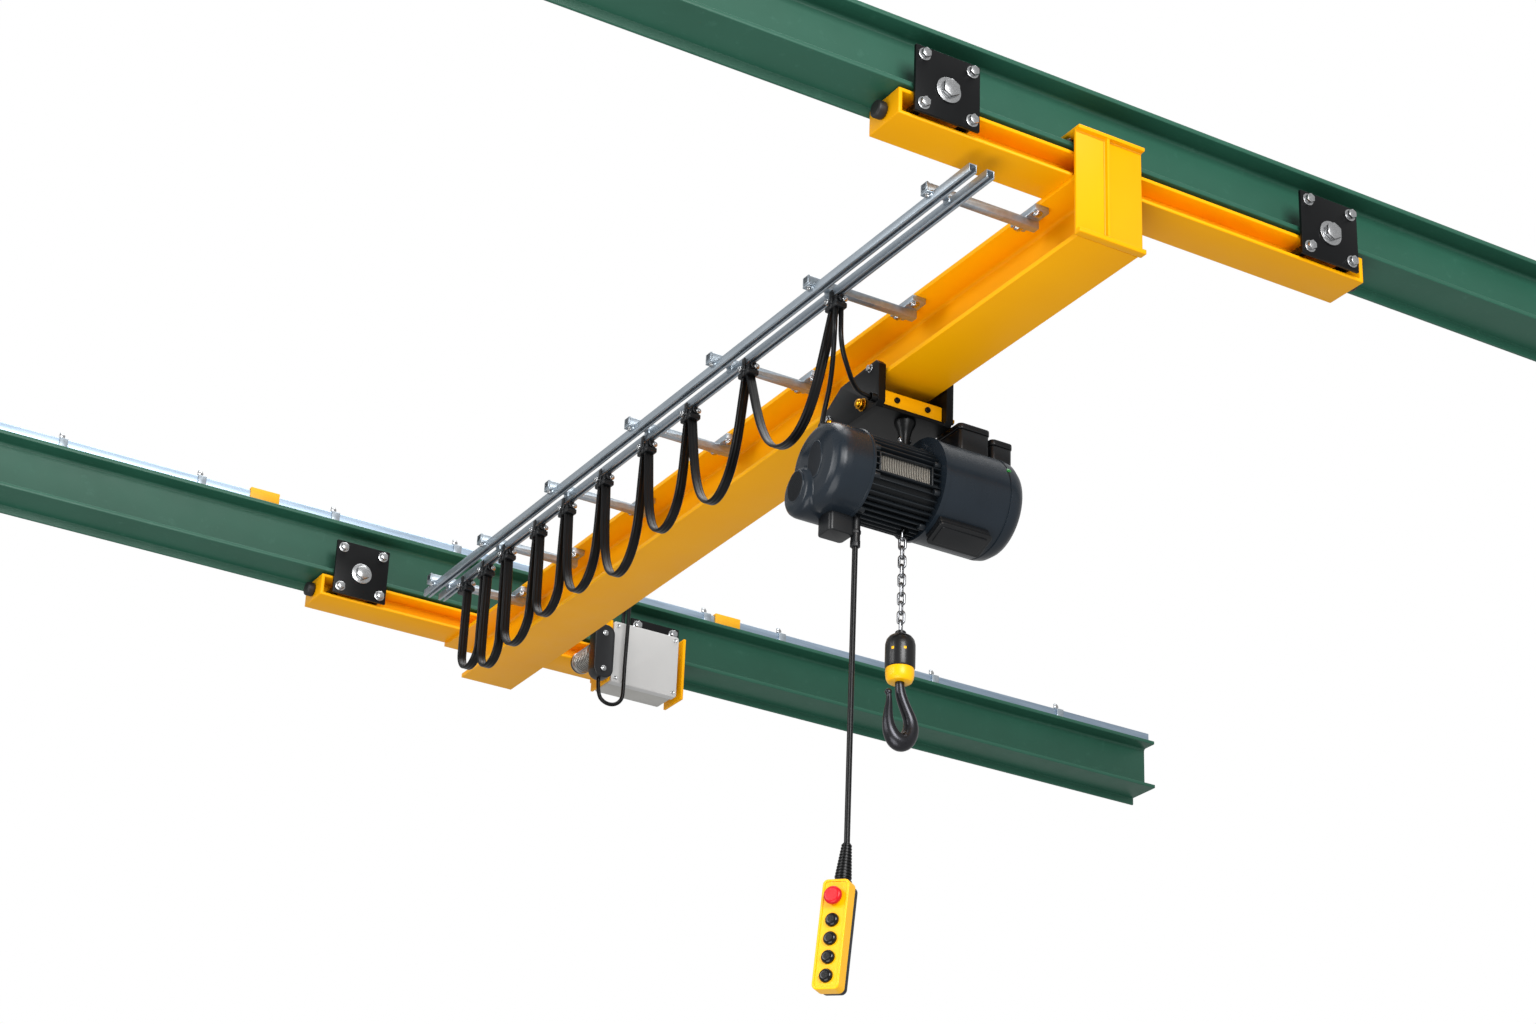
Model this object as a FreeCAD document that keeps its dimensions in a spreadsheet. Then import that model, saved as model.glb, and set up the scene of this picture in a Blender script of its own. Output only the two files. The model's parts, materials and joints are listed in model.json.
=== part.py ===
import FreeCAD
import Part
import Sketcher
import math
import os
import re
import sys
import types

# Underslung single-girder bridge crane, in millimetres. +X runs along the runways, +Y from the near
# runway to the far one and +Z up. The origin is on the near runway's top face, above the bridge's middle.
SIZES = {
    # runways: rolled H beams
    "gauge": 3145, "beam_left": 2000, "beam_right": 2436, "beam_width": 124, "beam_height": 172,
    "beam_flange": 12, "beam_web": 8, "beam_root": 9,
    # conductor rail on the far runway
    "power_rail_width": 22, "power_rail_height": 30, "power_rail_rise": 8, "power_rail_offset": -20,
    "clip_length": 26, "clip_cheek": 6, "clip_post": 12, "clip_rise": 28, "cover_length": 92, "cover_wall": 7,
    # strip along each runway's far flange edge
    "strip_thick": 8, "strip_drop": 24,
    # end carriages
    "running_gap": 10, "carriage_width": 120, "carriage_height": 67, "carriage_flange": 9,
    "carriage_web": 8, "carriage_half": 656, "far_right_end": 556, "end_plate": 10,
    "buffer_radius": 21, "buffer_length": 25,
    # wheel plates and wheels
    "wheel_place": 541, "far_right_wheel": 460, "plate_side": 170, "plate_thick": 8, "plate_clear": 12,
    "plate_drop": 155, "back_trim": 10, "bolt_pitch": 130, "boss_radius": 13, "wheel_radius": 25, "tread_inner": 30,
    "tread_outer": 60, "hub_radius": 14, "wheel_lift": 0.3,
    # girder and its head
    "girder_offset": -108, "girder_width": 166, "girder_height": 165, "girder_flange": 12,
    "girder_web": 8, "girder_root": 9, "near_overhang": 100, "far_cope": 89, "gusset_drop": 70,
    "gusset_length": 130, "head_rise": 115, "head_setback": 14, "head_plate": 8, "head_top": 10,
    "head_spread": 9, "head_reach": 10, "head_clear": 5, "rib_proud": 11, "rib_shift": 8,
    # festoon rails and arms
    "rail_side": 21, "rail_wall": 2.5, "rail_slot": 8, "inner_rail_x": -400, "outer_rail_x": -447,
    "rail_near": -42, "rail_far": 2775, "arm_side": 21, "arm_under": 26, "arm_beyond": 27,
    "clamp_thick": 16, "clamp_length": 100, "clamp_grip": 12,
    # carriers on the inner rail
    "carrier_length": 56, "carrier_width": 34, "carrier_height": 32, "carrier_drop": 6, "neck_width": 5,
    "neck_length": 24, "head_width": 13, "head_height": 6, "seat_gap": 0.4, "cable": 16, "cable_pitch": 22,
    # trolley
    "trolley_near": 696, "trolley_far": 975, "trolley_plate": 20, "trolley_clear": 5, "trolley_rise": 32, "right_extra": 22,
    "trolley_fall": 6, "trolley_shoulder": 870,
    "trolley_wheel": 12, "trolley_hub": 6, "trolley_tread_in": 45, "trolley_tread_out": 75, "axle_inset": 45,
    "base_drop": 93, "base_thick": 10, "base_near": 705, "base_far": 905, "crossbar_near": 715,
    "crossbar_thick": 15, "crossbar_height": 45,
    # hoist; its drop is from the girder's underside to its axis
    "hoist_y": 745, "hoist_drop": 278, "motor_radius": 109, "cover_radius": 113, "gear_radius": 130, "gear_lift": 16,
    "cover_left": -368, "cover_seam": -258, "gear_left": -70, "gear_right": 175,
    "cover_round": 26, "gear_round": 50, "lobe_radius": 64, "lobe_left": -382, "lobe_root": -320, "lobe_y": 52,
    "lobe_drop": 54, "lobe_round": 16, "window_left": -240, "window_right": -96, "window_height": 46,
    "window_floor": 82, "drum_radius": 100, "bore_radius": 15, "bore_top": 90,
    "eye_radius": 12, "washer_radius": 27, "washer_height": 9, "lug_length": 46, "lug_width": 40, "lug_rise": 10,
    "top_box_left": 15, "top_box_length": 92, "top_box_width": 110, "top_box_rise": 57,
    "switch_box_left": 108, "switch_box_length": 66, "switch_box_rise": 39, "side_box_left": -60,
    "side_box_length": 150, "side_box_width": 72, "side_box_rise": 22, "side_box_turn": -24,
    "gland_box_left": -318, "gland_box_length": 68, "gland_box_width": 60, "gland_box_near": 12, "gland_box_drop": 160,
    "gland_radius": 12, "gland_length": 14, "stem_drop": 170,
    # hook; the block hangs on the chain
    "chain_radius": 9, "chain_inside": 12, "block_drop": 644, "block_radius": 36, "block_height": 82,
    "block_crown": 22, "collar_height": 48, "collar_radius": 34, "collar_foot": 28, "shank_radius": 11,
    "shank_clear": 0.05, "shank_inside": 28,
    # pendant; the cable's lower end is given below the girder
    "pendant_x": -240, "pendant_cable": 14, "sleeve_drop": 1198, "sleeve_top": 11, "sleeve_bottom": 21,
    "sleeve_length": 95, "cable_in_sleeve": -0.6, "pendant_width": 66, "pendant_height": 256,
    "front_depth": 34, "back_depth": 28, "back_inset": 3, "pendant_corner": 13, "pendant_rim": 3,
    "panel_inset": 6, "panel_depth": 2, "panel_corner": 8, "back_round": 9, "pendant_turn": -55,
    "pendant_lean": 4.5, "stop_radius": 21, "stop_stem": 13, "stop_rise": 20, "stop_cap": 11, "stop_round": 7, "stop_place": 42,
    "button_radius": 16, "button_rise": 10, "button_round": 8, "button_first": 96, "button_pitch": 43,
    # travel drive and control box, placed from the far carriage's underside
    "gearbox_left": 162, "gearbox_width": 66, "gearbox_length": 172, "gearbox_reach": 265, "gearbox_thick": 40,
    "gearbox_rise": 45, "motor_x": 168, "motor_drop": 32, "motor_length": 128, "motor_round": 34,
    "box_left": 240, "box_width": 228, "box_height": 200, "box_depth": 110, "box_reach": 230,
    "box_rise": 81, "sheet": 8, "cheek_gap_left": 4, "cheek_gap_right": 16, "foot_length": 110, "back_rise": 30,
    "box_gland": 9, "box_gland_in": 60, "box_gland_length": 14, "drive_cable": 12, "trolley_cable": 12,
}
ARM_PLACES = [115, 622, 1085, 1510, 1965, 2380, 2709]
CLIP_PLACES = [-1480, -1053, -624, -217, 240, 670, 951, 1547, 2057]
COVER_PLACES = [-854, 745]
CARRIER_PLACES = [601, 1009, 1299, 1528, 1763, 1977, 2147, 2341, 2474, 2604]

doc = FreeCAD.newDocument("bridge_crane")
sheet = doc.addObject("Spreadsheet::Sheet", "Sizes")
for row, (alias, value) in enumerate(SIZES.items(), start=1):
    sheet.set("A" + str(row), alias)
    sheet.set("B" + str(row), str(value))
    sheet.setAlias("B" + str(row), alias)
doc.recompute()
size = types.SimpleNamespace(**SIZES)
sub_parts = []

# heights that several pieces share, as formulas of the sizes; runway underside is the datum
UNDERSIDE = "(0 - beam_height)"
CARRIAGE_TOP = "(0 - beam_height - running_gap)"
CARRIAGE_BOTTOM = "(0 - beam_height - running_gap - carriage_height)"
GIRDER_BOTTOM = "(0 - beam_height - running_gap - carriage_height - girder_height)"
ARM_TOP = "(0 - beam_height - running_gap - carriage_height - girder_flange - clamp_thick)"
RAIL_TOP = "(" + ARM_TOP + " - arm_side)"
HOIST_AXIS = "(" + GIRDER_BOTTOM + " - hoist_drop)"
BASE_TOP = "(" + GIRDER_BOTTOM + " - base_drop + base_thick)"
TURNS = {"x": ((0, 1, 0), 90), "y": ((1, 0, 0), -90), "z": ((0, 0, 1), 0)}


def formula(text):
    """Points every size word of a formula at its cell of the sheet."""
    return re.sub(r"[a-z_][a-z0-9_]*", lambda word: "Sizes." + word[0] if word[0] in SIZES else word[0], str(text))


def bind(piece, prop, text):
    piece.setExpression(prop, formula(text))


def place(piece, x, y, z):
    bind(piece, "Placement.Base.x", x)
    bind(piece, "Placement.Base.y", y)
    bind(piece, "Placement.Base.z", z)


def box(name, sizes, corner):
    """A block from its sizes along X, Y, Z and its lowest corner."""
    piece = doc.addObject("Part::Box", name)
    for prop, text in zip(("Length", "Width", "Height"), sizes):
        bind(piece, prop, text)
    place(piece, *corner)
    return piece


def rod(name, radius, length, start, axis):
    """A cylinder from its start, along one axis."""
    piece = doc.addObject("Part::Cylinder", name)
    bind(piece, "Radius", radius)
    bind(piece, "Height", length)
    turn_axis, angle = TURNS[axis]
    piece.Placement.Rotation = FreeCAD.Rotation(FreeCAD.Vector(*turn_axis), angle)
    place(piece, *start)
    return piece


def fuse(name, pieces):
    joined = doc.addObject("Part::MultiFuse", name)
    joined.Shapes = pieces
    return joined


def cut(name, base, tool):
    piece = doc.addObject("Part::Cut", name)
    piece.Base = base
    piece.Tool = tool
    return piece


def group(name, pieces):
    """Like pieces that share a node without touching."""
    several = doc.addObject("Part::Compound", name)
    several.Links = pieces
    return several


def sub_part(piece, label):
    piece.Label = label
    sub_parts.append(piece)
    return piece


def new_body(name):
    return doc.addObject("PartDesign::Body", name)


def plane_of(body, role):
    return [feature for feature in body.Origin.OriginFeatures if feature.Role == role][0]


def outline_sketch(body, name, role, points):
    """A closed outline on one of the body's origin planes; every corner is bound to the sheet."""
    sketch = body.newObject("Sketcher::SketchObject", name)
    sketch.AttachmentSupport = [(plane_of(body, role), "")]
    sketch.MapMode = "FlatFace"
    count = len(points)
    for index in range(count):
        start = FreeCAD.Vector(index, index * index, 0)
        end = FreeCAD.Vector(index + 1, (index + 1) ** 2, 0)
        sketch.addGeometry(Part.LineSegment(start, end), False)
    for index in range(count):
        sketch.addConstraint(Sketcher.Constraint("Coincident", index, 2, (index + 1) % count, 1))
    for index, (across, up) in enumerate(points):
        for kind, text in (("DistanceX", across), ("DistanceY", up)):
            number = sketch.addConstraint(Sketcher.Constraint(kind, -1, 1, index, 1, 1.0))
            bind(sketch, "Constraints[" + str(number) + "]", text)
    return sketch


def circle_sketch(body, name, role, across, up, radius):
    sketch = body.newObject("Sketcher::SketchObject", name)
    sketch.AttachmentSupport = [(plane_of(body, role), "")]
    sketch.MapMode = "FlatFace"
    sketch.addGeometry(Part.Circle(FreeCAD.Vector(1, 1, 0), FreeCAD.Vector(0, 0, 1), 5), False)
    values = (("DistanceX", across), ("DistanceY", up))
    for kind, text in values:
        number = sketch.addConstraint(Sketcher.Constraint(kind, -1, 1, 0, 3, 1.0))
        bind(sketch, "Constraints[" + str(number) + "]", text)
    number = sketch.addConstraint(Sketcher.Constraint("Radius", 0, 5.0))
    bind(sketch, "Constraints[" + str(number) + "]", radius)
    return sketch


def pad(body, sketch, name, length, reverse=False, both=False):
    feature = body.newObject("PartDesign::Pad", name)
    feature.Profile = sketch
    feature.Reversed = reverse
    feature.Midplane = both
    bind(feature, "Length", length)
    sketch.Visibility = False
    return feature


def edges_where(shape, test):
    return ["Edge" + str(number) for number, edge in enumerate(shape.Edges, start=1) if test(edge)]


def round_edges(body, feature, name, radius, test):
    doc.recompute()
    rounded = body.newObject("PartDesign::Fillet", name)
    rounded.Base = (feature, edges_where(feature.Shape, test))
    bind(rounded, "Radius", radius)
    return rounded


def i_outline(width, height, flange, web, top):
    """The twelve corners of an H section whose top face is at the given height."""
    half = "(" + width + ") / 2"
    inner = "(" + web + ") / 2"
    low = top + " - " + height
    return [("0 - " + half, top), (half, top), (half, top + " - " + flange), (inner, top + " - " + flange),
            (inner, low + " + " + flange), (half, low + " + " + flange), (half, low), ("0 - " + half, low),
            ("0 - " + half, low + " + " + flange), ("0 - " + inner, low + " + " + flange),
            ("0 - " + inner, top + " - " + flange), ("0 - " + half, top + " - " + flange)]


def rectangle(low_x, low_y, high_x, high_y):
    return [(low_x, low_y), (high_x, low_y), (high_x, high_y), (low_x, high_y)]


def along(edge, axis):
    """Is the edge straight and parallel to the axis?"""
    if not isinstance(edge.Curve, Part.Line):
        return False
    return abs(abs(edge.Curve.Direction.dot(axis)) - 1) < 1e-6


def build_runways():
    for label, y in (("near_runway_beam", "0"), ("far_runway_beam", "gauge")):
        body = new_body(label + "_body")
        profile = i_outline("beam_width", "beam_height", "beam_flange", "beam_web", "0")
        sketch = outline_sketch(body, label + "_profile", "YZ_Plane", profile)
        beam = pad(body, sketch, label + "_pad", "beam_left + beam_right")
        root = size.beam_web / 2
        round_edges(body, beam, label + "_roots", "beam_root", lambda edge: along(edge, FreeCAD.Vector(1, 0, 0))
                    and abs(abs(edge.CenterOfMass.y) - root) < 0.01)
        strip = rectangle("beam_width / 2", "0 - beam_height - strip_drop", "beam_width / 2 + strip_thick",
                          "beam_flange - beam_height")
        edge = outline_sketch(body, label + "_strip_profile", "YZ_Plane", strip)
        pad(body, edge, label + "_strip", "beam_left + beam_right")
        place(body, "0 - beam_left", y, "0")
        sub_part(body, label)
    rail_y = "gauge + power_rail_offset - power_rail_width / 2"
    rail = box("rail_bar", ("beam_left + beam_right", "power_rail_width", "power_rail_height"),
               ("0 - beam_left", rail_y, "power_rail_rise"))
    sub_part(rail, "power_rail")
    clips = []
    # a clip beyond a shortened beam is left out
    for number, x in enumerate(place for place in CLIP_PLACES if place + size.clip_length < size.beam_right):
        foot = box("clip_foot_" + str(number), ("clip_length", "power_rail_width + 2 * clip_cheek", "power_rail_rise"),
                   (f"{x} - clip_length / 2", rail_y + " - clip_cheek", "0"))
        cheeks = [box(f"clip_cheek_{number}_{side}", ("clip_length", "clip_cheek", "power_rail_height"),
                      (f"{x} - clip_length / 2", y, "power_rail_rise"))
                  for side, y in enumerate((rail_y + " - clip_cheek", rail_y + " + power_rail_width"))]
        post = box("clip_post_" + str(number), ("clip_post", "clip_cheek", "clip_rise"),
                   (f"{x} - clip_post / 2", rail_y + " + power_rail_width", "power_rail_rise + power_rail_height"))
        clips.append(fuse("clip_" + str(number), [foot, post] + cheeks))
    sub_part(group("clips", clips), "power_rail_clips")
    covers = []
    for number, x in enumerate(COVER_PLACES):
        block = box("cover_block_" + str(number),
                    ("cover_length", "power_rail_width + 2 * cover_wall", "power_rail_height + cover_wall"),
                    (f"{x} - cover_length / 2", rail_y + " - cover_wall", "power_rail_rise"))
        slot = box("cover_slot_" + str(number),
                   ("cover_length + 2", "power_rail_width", "power_rail_height"),
                   (f"{x} - cover_length / 2 - 1", rail_y, "power_rail_rise"))
        covers.append(cut("cover_" + str(number), block, slot))
    sub_part(group("covers", covers), "rail_joint_covers")


def build_carriages():
    for label, y, right in (("near_end_carriage", "0", "carriage_half"), ("far_end_carriage", "gauge", "far_right_end")):
        body = new_body(label + "_body")
        profile = i_outline("carriage_width", "carriage_height", "carriage_flange", "carriage_web", "0")
        sketch = outline_sketch(body, label + "_profile", "YZ_Plane", profile)
        beam = pad(body, sketch, label + "_pad", "carriage_half + " + right)
        ends = rectangle("0 - carriage_width / 2", "0 - carriage_height", "carriage_width / 2", "0")
        first = outline_sketch(body, label + "_end_profile", "YZ_Plane", ends)
        pad(body, first, label + "_left_end", "end_plate")
        last = outline_sketch(body, label + "_far_profile", "YZ_Plane", ends)
        bind(last, "AttachmentOffset.Base.z", "carriage_half + " + right + " - end_plate")
        pad(body, last, label + "_right_end", "end_plate")
        place(body, "0 - carriage_half", y, CARRIAGE_TOP)
        sub_part(body, label)
    middle = CARRIAGE_TOP + " - carriage_height / 2"
    ends = (("0 - carriage_half - buffer_length", "0"), ("carriage_half", "0"),
            ("0 - carriage_half - buffer_length", "gauge"), ("far_right_end", "gauge"))
    buffers = [rod("buffer_" + str(number), "buffer_radius", "buffer_length", (x, y, middle), "x")
               for number, (x, y) in enumerate(ends)]
    sub_part(group("buffer_set", buffers), "buffers")


def build_wheels():
    """Bearing plates on both sides of each runway, bolted to the carriage, with a wheel inside each."""
    plates = []
    wheels = []
    places = (("0 - wheel_place", "0"), ("wheel_place", "0"), ("0 - wheel_place", "gauge"),
              ("far_right_wheel", "gauge"))
    face = "(carriage_width / 2 + plate_clear)"
    bolt_z = "0 - plate_drop - bolt_pitch / 2"
    wheel_z = UNDERSIDE + " + beam_flange + wheel_lift + wheel_radius"
    for number, (x, y) in enumerate(places):
        for side in (-1, 1):
            name = str(number) + ("_front" if side < 0 else "_back")
            plate_low = face + " + " + y if side > 0 else y + " - " + face + " - plate_thick"
            trim = " + back_trim" if side > 0 else ""
            parts = [box("wheel_plate_" + name, ("plate_side", "plate_thick", "plate_side - (0" + trim + ")"),
                         (x + " - plate_side / 2", plate_low, "0 - plate_drop - plate_side / 2" + trim))]
            boss_low = y + " + carriage_web / 2" if side > 0 else y + " - " + face
            for place_x in (-1, 1):
                parts.append(rod(f"boss_{name}_{place_x + 1}", "boss_radius", face + " - carriage_web / 2",
                                 (f"{x} + {place_x} * bolt_pitch / 2", boss_low, bolt_z), "y"))
            plates.append(fuse("plate_set_" + name, parts))
            tread_low = y + " + tread_inner" if side > 0 else y + " - tread_outer"
            hub_low = y + " + tread_outer" if side > 0 else y + " - " + face
            tread = rod("tread_" + name, "wheel_radius", "tread_outer - tread_inner", (x, tread_low, wheel_z), "y")
            hub = rod("hub_" + name, "hub_radius", face + " - tread_outer", (x, hub_low, wheel_z), "y")
            wheels.append(fuse("wheel_" + name, [tread, hub]))
    sub_part(group("plate_group", plates), "wheel_plates")
    sub_part(group("wheel_group", wheels), "track_wheels")


def build_girder():
    body = new_body("girder_body")
    profile = i_outline("girder_width", "girder_height", "girder_flange", "girder_web", "0")
    back_of_plate = "(near_overhang - head_setback - head_plate)"
    sketch = outline_sketch(body, "girder_profile", "XZ_Plane", profile)
    bind(sketch, "AttachmentOffset.Base.z", back_of_plate)
    length = back_of_plate + " + gauge - far_cope"
    beam = pad(body, sketch, "girder_pad", length, reverse=True)
    root = size.girder_web / 2
    rounded = round_edges(body, beam, "girder_roots", "girder_root",
                          lambda edge: along(edge, FreeCAD.Vector(0, 1, 0))
                          and abs(abs(edge.CenterOfMass.x) - root) < 0.01)
    body.Tip = rounded
    top = rectangle("0 - girder_width / 2", "0 - girder_flange", "girder_width / 2", "0")
    tongue = outline_sketch(body, "tongue_profile", "XZ_Plane", top)
    pad(body, tongue, "tongue", "gauge + carriage_width / 2", reverse=True)
    end = "gauge - far_cope"
    corners = [(end + " - girder_web", "0 - girder_flange / 2"), (end + " + gusset_length", "0 - girder_flange / 2"),
               (end + " + gusset_length", "0 - girder_flange - girder_web"),
               (end, "0 - girder_flange - gusset_drop"), (end + " - girder_web", "0 - girder_flange - gusset_drop")]
    gusset = outline_sketch(body, "gusset_profile", "YZ_Plane", corners)
    pad(body, gusset, "gusset", "girder_web", both=True)
    place(body, "girder_offset", "0", CARRIAGE_BOTTOM)
    sub_part(body, "main_girder")


def build_head():
    """The girder's near end: an end plate with a rib, between a foot and a top plate wider than the girder."""
    floor = "(" + GIRDER_BOTTOM + " + girder_flange)"
    roof = "(" + CARRIAGE_BOTTOM + " + head_rise - head_top)"
    left = "(girder_offset - girder_width / 2 - head_spread)"
    width = "(girder_width + 2 * head_spread)"
    plate_y = "(0 - near_overhang + head_setback)"
    pieces = [
        box("head_foot", (width, "head_setback + head_plate", "girder_flange"), (left, "0 - near_overhang", GIRDER_BOTTOM)),
        box("head_end_plate", (width, "head_plate", roof + " - " + floor), (left, plate_y, floor)),
        box("head_rib", ("girder_web", "rib_proud", roof + " - " + floor),
            ("girder_offset - girder_web / 2 - rib_shift", plate_y + " - rib_proud", floor)),
        box("head_web", ("girder_web", "near_overhang - head_setback - head_plate - beam_width / 2 - head_clear",
                         roof + " - " + CARRIAGE_BOTTOM),
            ("girder_offset - girder_web / 2", plate_y + " + head_plate", CARRIAGE_BOTTOM)),
        box("head_top_plate", (width, "near_overhang - head_reach", "head_top"),
            (left, "0 - near_overhang", roof)),
    ]
    sub_part(fuse("head_fuse", pieces), "girder_head")


def c_rail(name, x):
    """A square rail with a slot along its underside."""
    body = new_body(name)
    half = "rail_side / 2"
    slot = "rail_slot / 2"
    wall = "rail_side / 2 - rail_wall"
    low = "0 - rail_side"
    points = [("0 - " + slot, low), ("0 - " + half, low), ("0 - " + half, "0"), (half, "0"), (half, low),
              (slot, low), (slot, low + " + rail_wall"), (wall, low + " + rail_wall"), (wall, "0 - rail_wall"),
              ("0 - " + "(" + wall + ")", "0 - rail_wall"), ("0 - " + "(" + wall + ")", low + " + rail_wall"),
              ("0 - " + slot, low + " + rail_wall")]
    sketch = outline_sketch(body, name + "_profile", "XZ_Plane", points)
    pad(body, sketch, name + "_pad", "rail_far - rail_near", reverse=True)
    place(body, x, "rail_near", RAIL_TOP)
    return body


def build_festoon():
    sub_part(group("rail_group", [c_rail("inner_rail", "inner_rail_x"), c_rail("outer_rail", "outer_rail_x")]),
             "festoon_rails")
    arms = []
    left = "(girder_offset - girder_width / 2)"
    for number, y in enumerate(ARM_PLACES):
        start = "(outer_rail_x - arm_beyond)"
        arm = box("arm_" + str(number), (left + " + arm_under - " + start, "arm_side", "arm_side"),
                  (start, f"{y} - arm_side / 2", ARM_TOP + " - arm_side"))
        clamp = box("clamp_" + str(number), ("arm_under + clamp_grip", "clamp_length", "clamp_thick"),
                    (left + " - clamp_grip", f"{y} - clamp_length / 2", ARM_TOP))
        arms.append(fuse("arm_set_" + str(number), [arm, clamp]))
    sub_part(group("arm_group", arms), "festoon_arms")


def build_carriers():
    """Cable carriers: a saddle block below the rail, on a neck through the rail's slot."""
    for number, y in enumerate(CARRIER_PLACES):
        lip = RAIL_TOP + " - rail_side + rail_wall + seat_gap"
        under = RAIL_TOP + " - rail_side - carrier_drop"
        parts = [
            box(f"saddle_{number}", ("carrier_width", "carrier_length", "carrier_height"),
                ("inner_rail_x - carrier_width / 2", f"{y} - carrier_length / 2", under + " - carrier_height")),
            box(f"neck_{number}", ("neck_width", "neck_length", "carrier_drop + rail_wall + seat_gap"),
                ("inner_rail_x - neck_width / 2", f"{y} - neck_length / 2", under)),
            box(f"shoe_{number}", ("head_width", "neck_length", "head_height"),
                ("inner_rail_x - head_width / 2", f"{y} - neck_length / 2", lip)),
        ]
        label = "tow_carrier" if number == 0 else "festoon_carrier_" + str(number)
        sub_part(fuse("carrier_fuse_" + str(number), parts), label)


def tube_along(name, points, diameter):
    """A cable's tube: straight runs joined by arcs, each as large as its two runs allow."""
    corners = [FreeCAD.Vector(*point) for point in points]
    edges = []
    radii = []
    start = corners[0]
    for index in range(1, len(corners) - 1):
        before = corners[index - 1] - corners[index]
        after = corners[index + 1] - corners[index]
        turn = math.pi - before.getAngle(after)
        reach = 0.45 * min(before.Length, after.Length)
        radii.append(reach / math.tan(turn / 2))
        into = before.normalize()
        out = after.normalize()
        first = corners[index] + into * reach
        last = corners[index] + out * reach
        bisector = (into + out).normalize()
        drop = radii[-1] / math.cos(turn / 2) - radii[-1]
        edges.append(Part.LineSegment(start, first).toShape())
        edges.append(Part.Arc(first, corners[index] + bisector * drop, last).toShape())
        start = last
    edges.append(Part.LineSegment(start, corners[-1]).toShape())
    path = Part.Wire(edges)
    direction = corners[1] - corners[0]
    ring = Part.Wire([Part.makeCircle(diameter / 2, corners[0], direction)])
    solid = path.makePipeShell([ring], True, False)
    expected = path.Length * math.pi * diameter ** 2 / 4
    print(f"{name}: length {path.Length:.0f}, smallest radius {min(radii):.0f}, "
          f"volume {solid.Volume / expected:.4f} of section times length")
    tube = doc.addObject("Part::Feature", name)
    tube.Shape = solid
    return tube


# Each festoon loop's route in the rail's plane: how far along Y from its near carrier, and how far below
# the saddles. The cables hang between saddles, so their ends stand half a cable pitch inside each carrier.
LOOPS = [
    [(0, 0), (22, -58), (45, -118), (72, -180), (110, -236), (162, -268), (221, -268), (276, -236), (316, -180),
     (344, -118), (366, -58), (386, 0)],
    [(0, 0), (12, -62), (24, -128), (42, -192), (70, -246), (112, -280), (158, -280), (200, -246), (228, -192),
     (246, -128), (258, -62), (268, 0)],
    [(0, 0), (7, -60), (13, -122), (23, -182), (46, -230), (83, -258), (125, -258), (161, -230), (183, -182),
     (194, -122), (201, -60), (207, 0)],
    [(0, 0), (6, -66), (11, -136), (20, -204), (45, -262), (85, -294), (130, -294), (168, -262), (193, -204),
     (203, -136), (208, -66), (213, 0)],
    [(0, 0), (5, -60), (9, -124), (17, -186), (40, -232), (76, -258), (117, -258), (152, -232), (175, -186),
     (184, -124), (188, -60), (192, 0)],
    [(0, 0), (3, -56), (5, -112), (6, -166), (10, -220), (47, -258), (101, -258), (138, -220), (142, -166),
     (143, -112), (145, -56), (148, 0)],
    [(0, 0), (4, -60), (7, -120), (9, -180), (12, -237), (55, -280), (117, -280), (160, -237), (163, -180),
     (165, -120), (168, -60), (172, 0)],
    [(0, 0), (-1, -64), (-1.5, -130), (-0.5, -194), (0, -256), (32, -290), (80, -290), (112, -256),
     (112.5, -194), (112.5, -130), (112, -64), (111, 0)],
    [(0, 0), (-1, -54), (-1.5, -110), (-0.5, -165), (-1, -217), (30.5, -250), (78.5, -250), (110, -217),
     (110, -165), (109.5, -110), (109, -54), (108, 0)],
]
# From the tow carrier to the trolley and to the hoist, and from the control box to the drive.
TROLLEY_ROUTE = [(-392.05, 589.9, -357.85), (-394, 586, -392), (-392, 588, -428), (-378, 600, -460),
                 (-350, 622, -484), (-322, 648, -497), (-293, 674, -501), (-264, 697, -496), (-232.4, 711, -487)]
HOIST_ROUTE = [(-408.05, 589.9, -357.9), (-410, 586, -390), (-407, 592, -424), (-396, 612, -452),
               (-381, 640, -474), (-366, 670, -494), (-354, 698, -515), (-346, 722, -533.5), (-342, 738, -554.5),
               (-341, 746.5, -576.85)]
DRIVE_ROUTE = [(300, 2975, -153.95), (300, 2975, -114), (292, 2949, -86), (280, 2911, -86), (272, 2885, -114),
               (271, 2884, -190), (269, 2886, -320), (271, 2890, -392), (272, 2894, -428), (248, 2896, -452),
               (214, 2898, -452), (190, 2900, -428), (190, 2900, -376.05)]


def below_saddle(end, following, diameter):
    """Moves a cable's end along its run until its tilted rim is just under the saddle."""
    run = (FreeCAD.Vector(*following) - FreeCAD.Vector(*end)).normalize()
    tilt = math.hypot(run.x, run.y)
    return tuple(FreeCAD.Vector(*end) + run * ((tilt * diameter / 2 + 0.05) / -run.z))


def build_loops():
    x = size.inner_rail_x
    rail_top = -(size.beam_height + size.running_gap + size.carriage_height + size.girder_flange
                 + size.clamp_thick + size.arm_side)
    saddle = rail_top - size.rail_side - size.carrier_drop - size.carrier_height
    for number, shape in enumerate(LOOPS, start=1):
        y = CARRIER_PLACES[number - 1] + size.cable_pitch / 2
        points = [(x, y + across, saddle + down) for across, down in shape]
        points[0] = below_saddle(points[0], points[1], size.cable)
        points[-1] = below_saddle(points[-1], points[-2], size.cable)
        sub_part(tube_along("loop_tube_" + str(number), points, size.cable), "festoon_loop_" + str(number))


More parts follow.
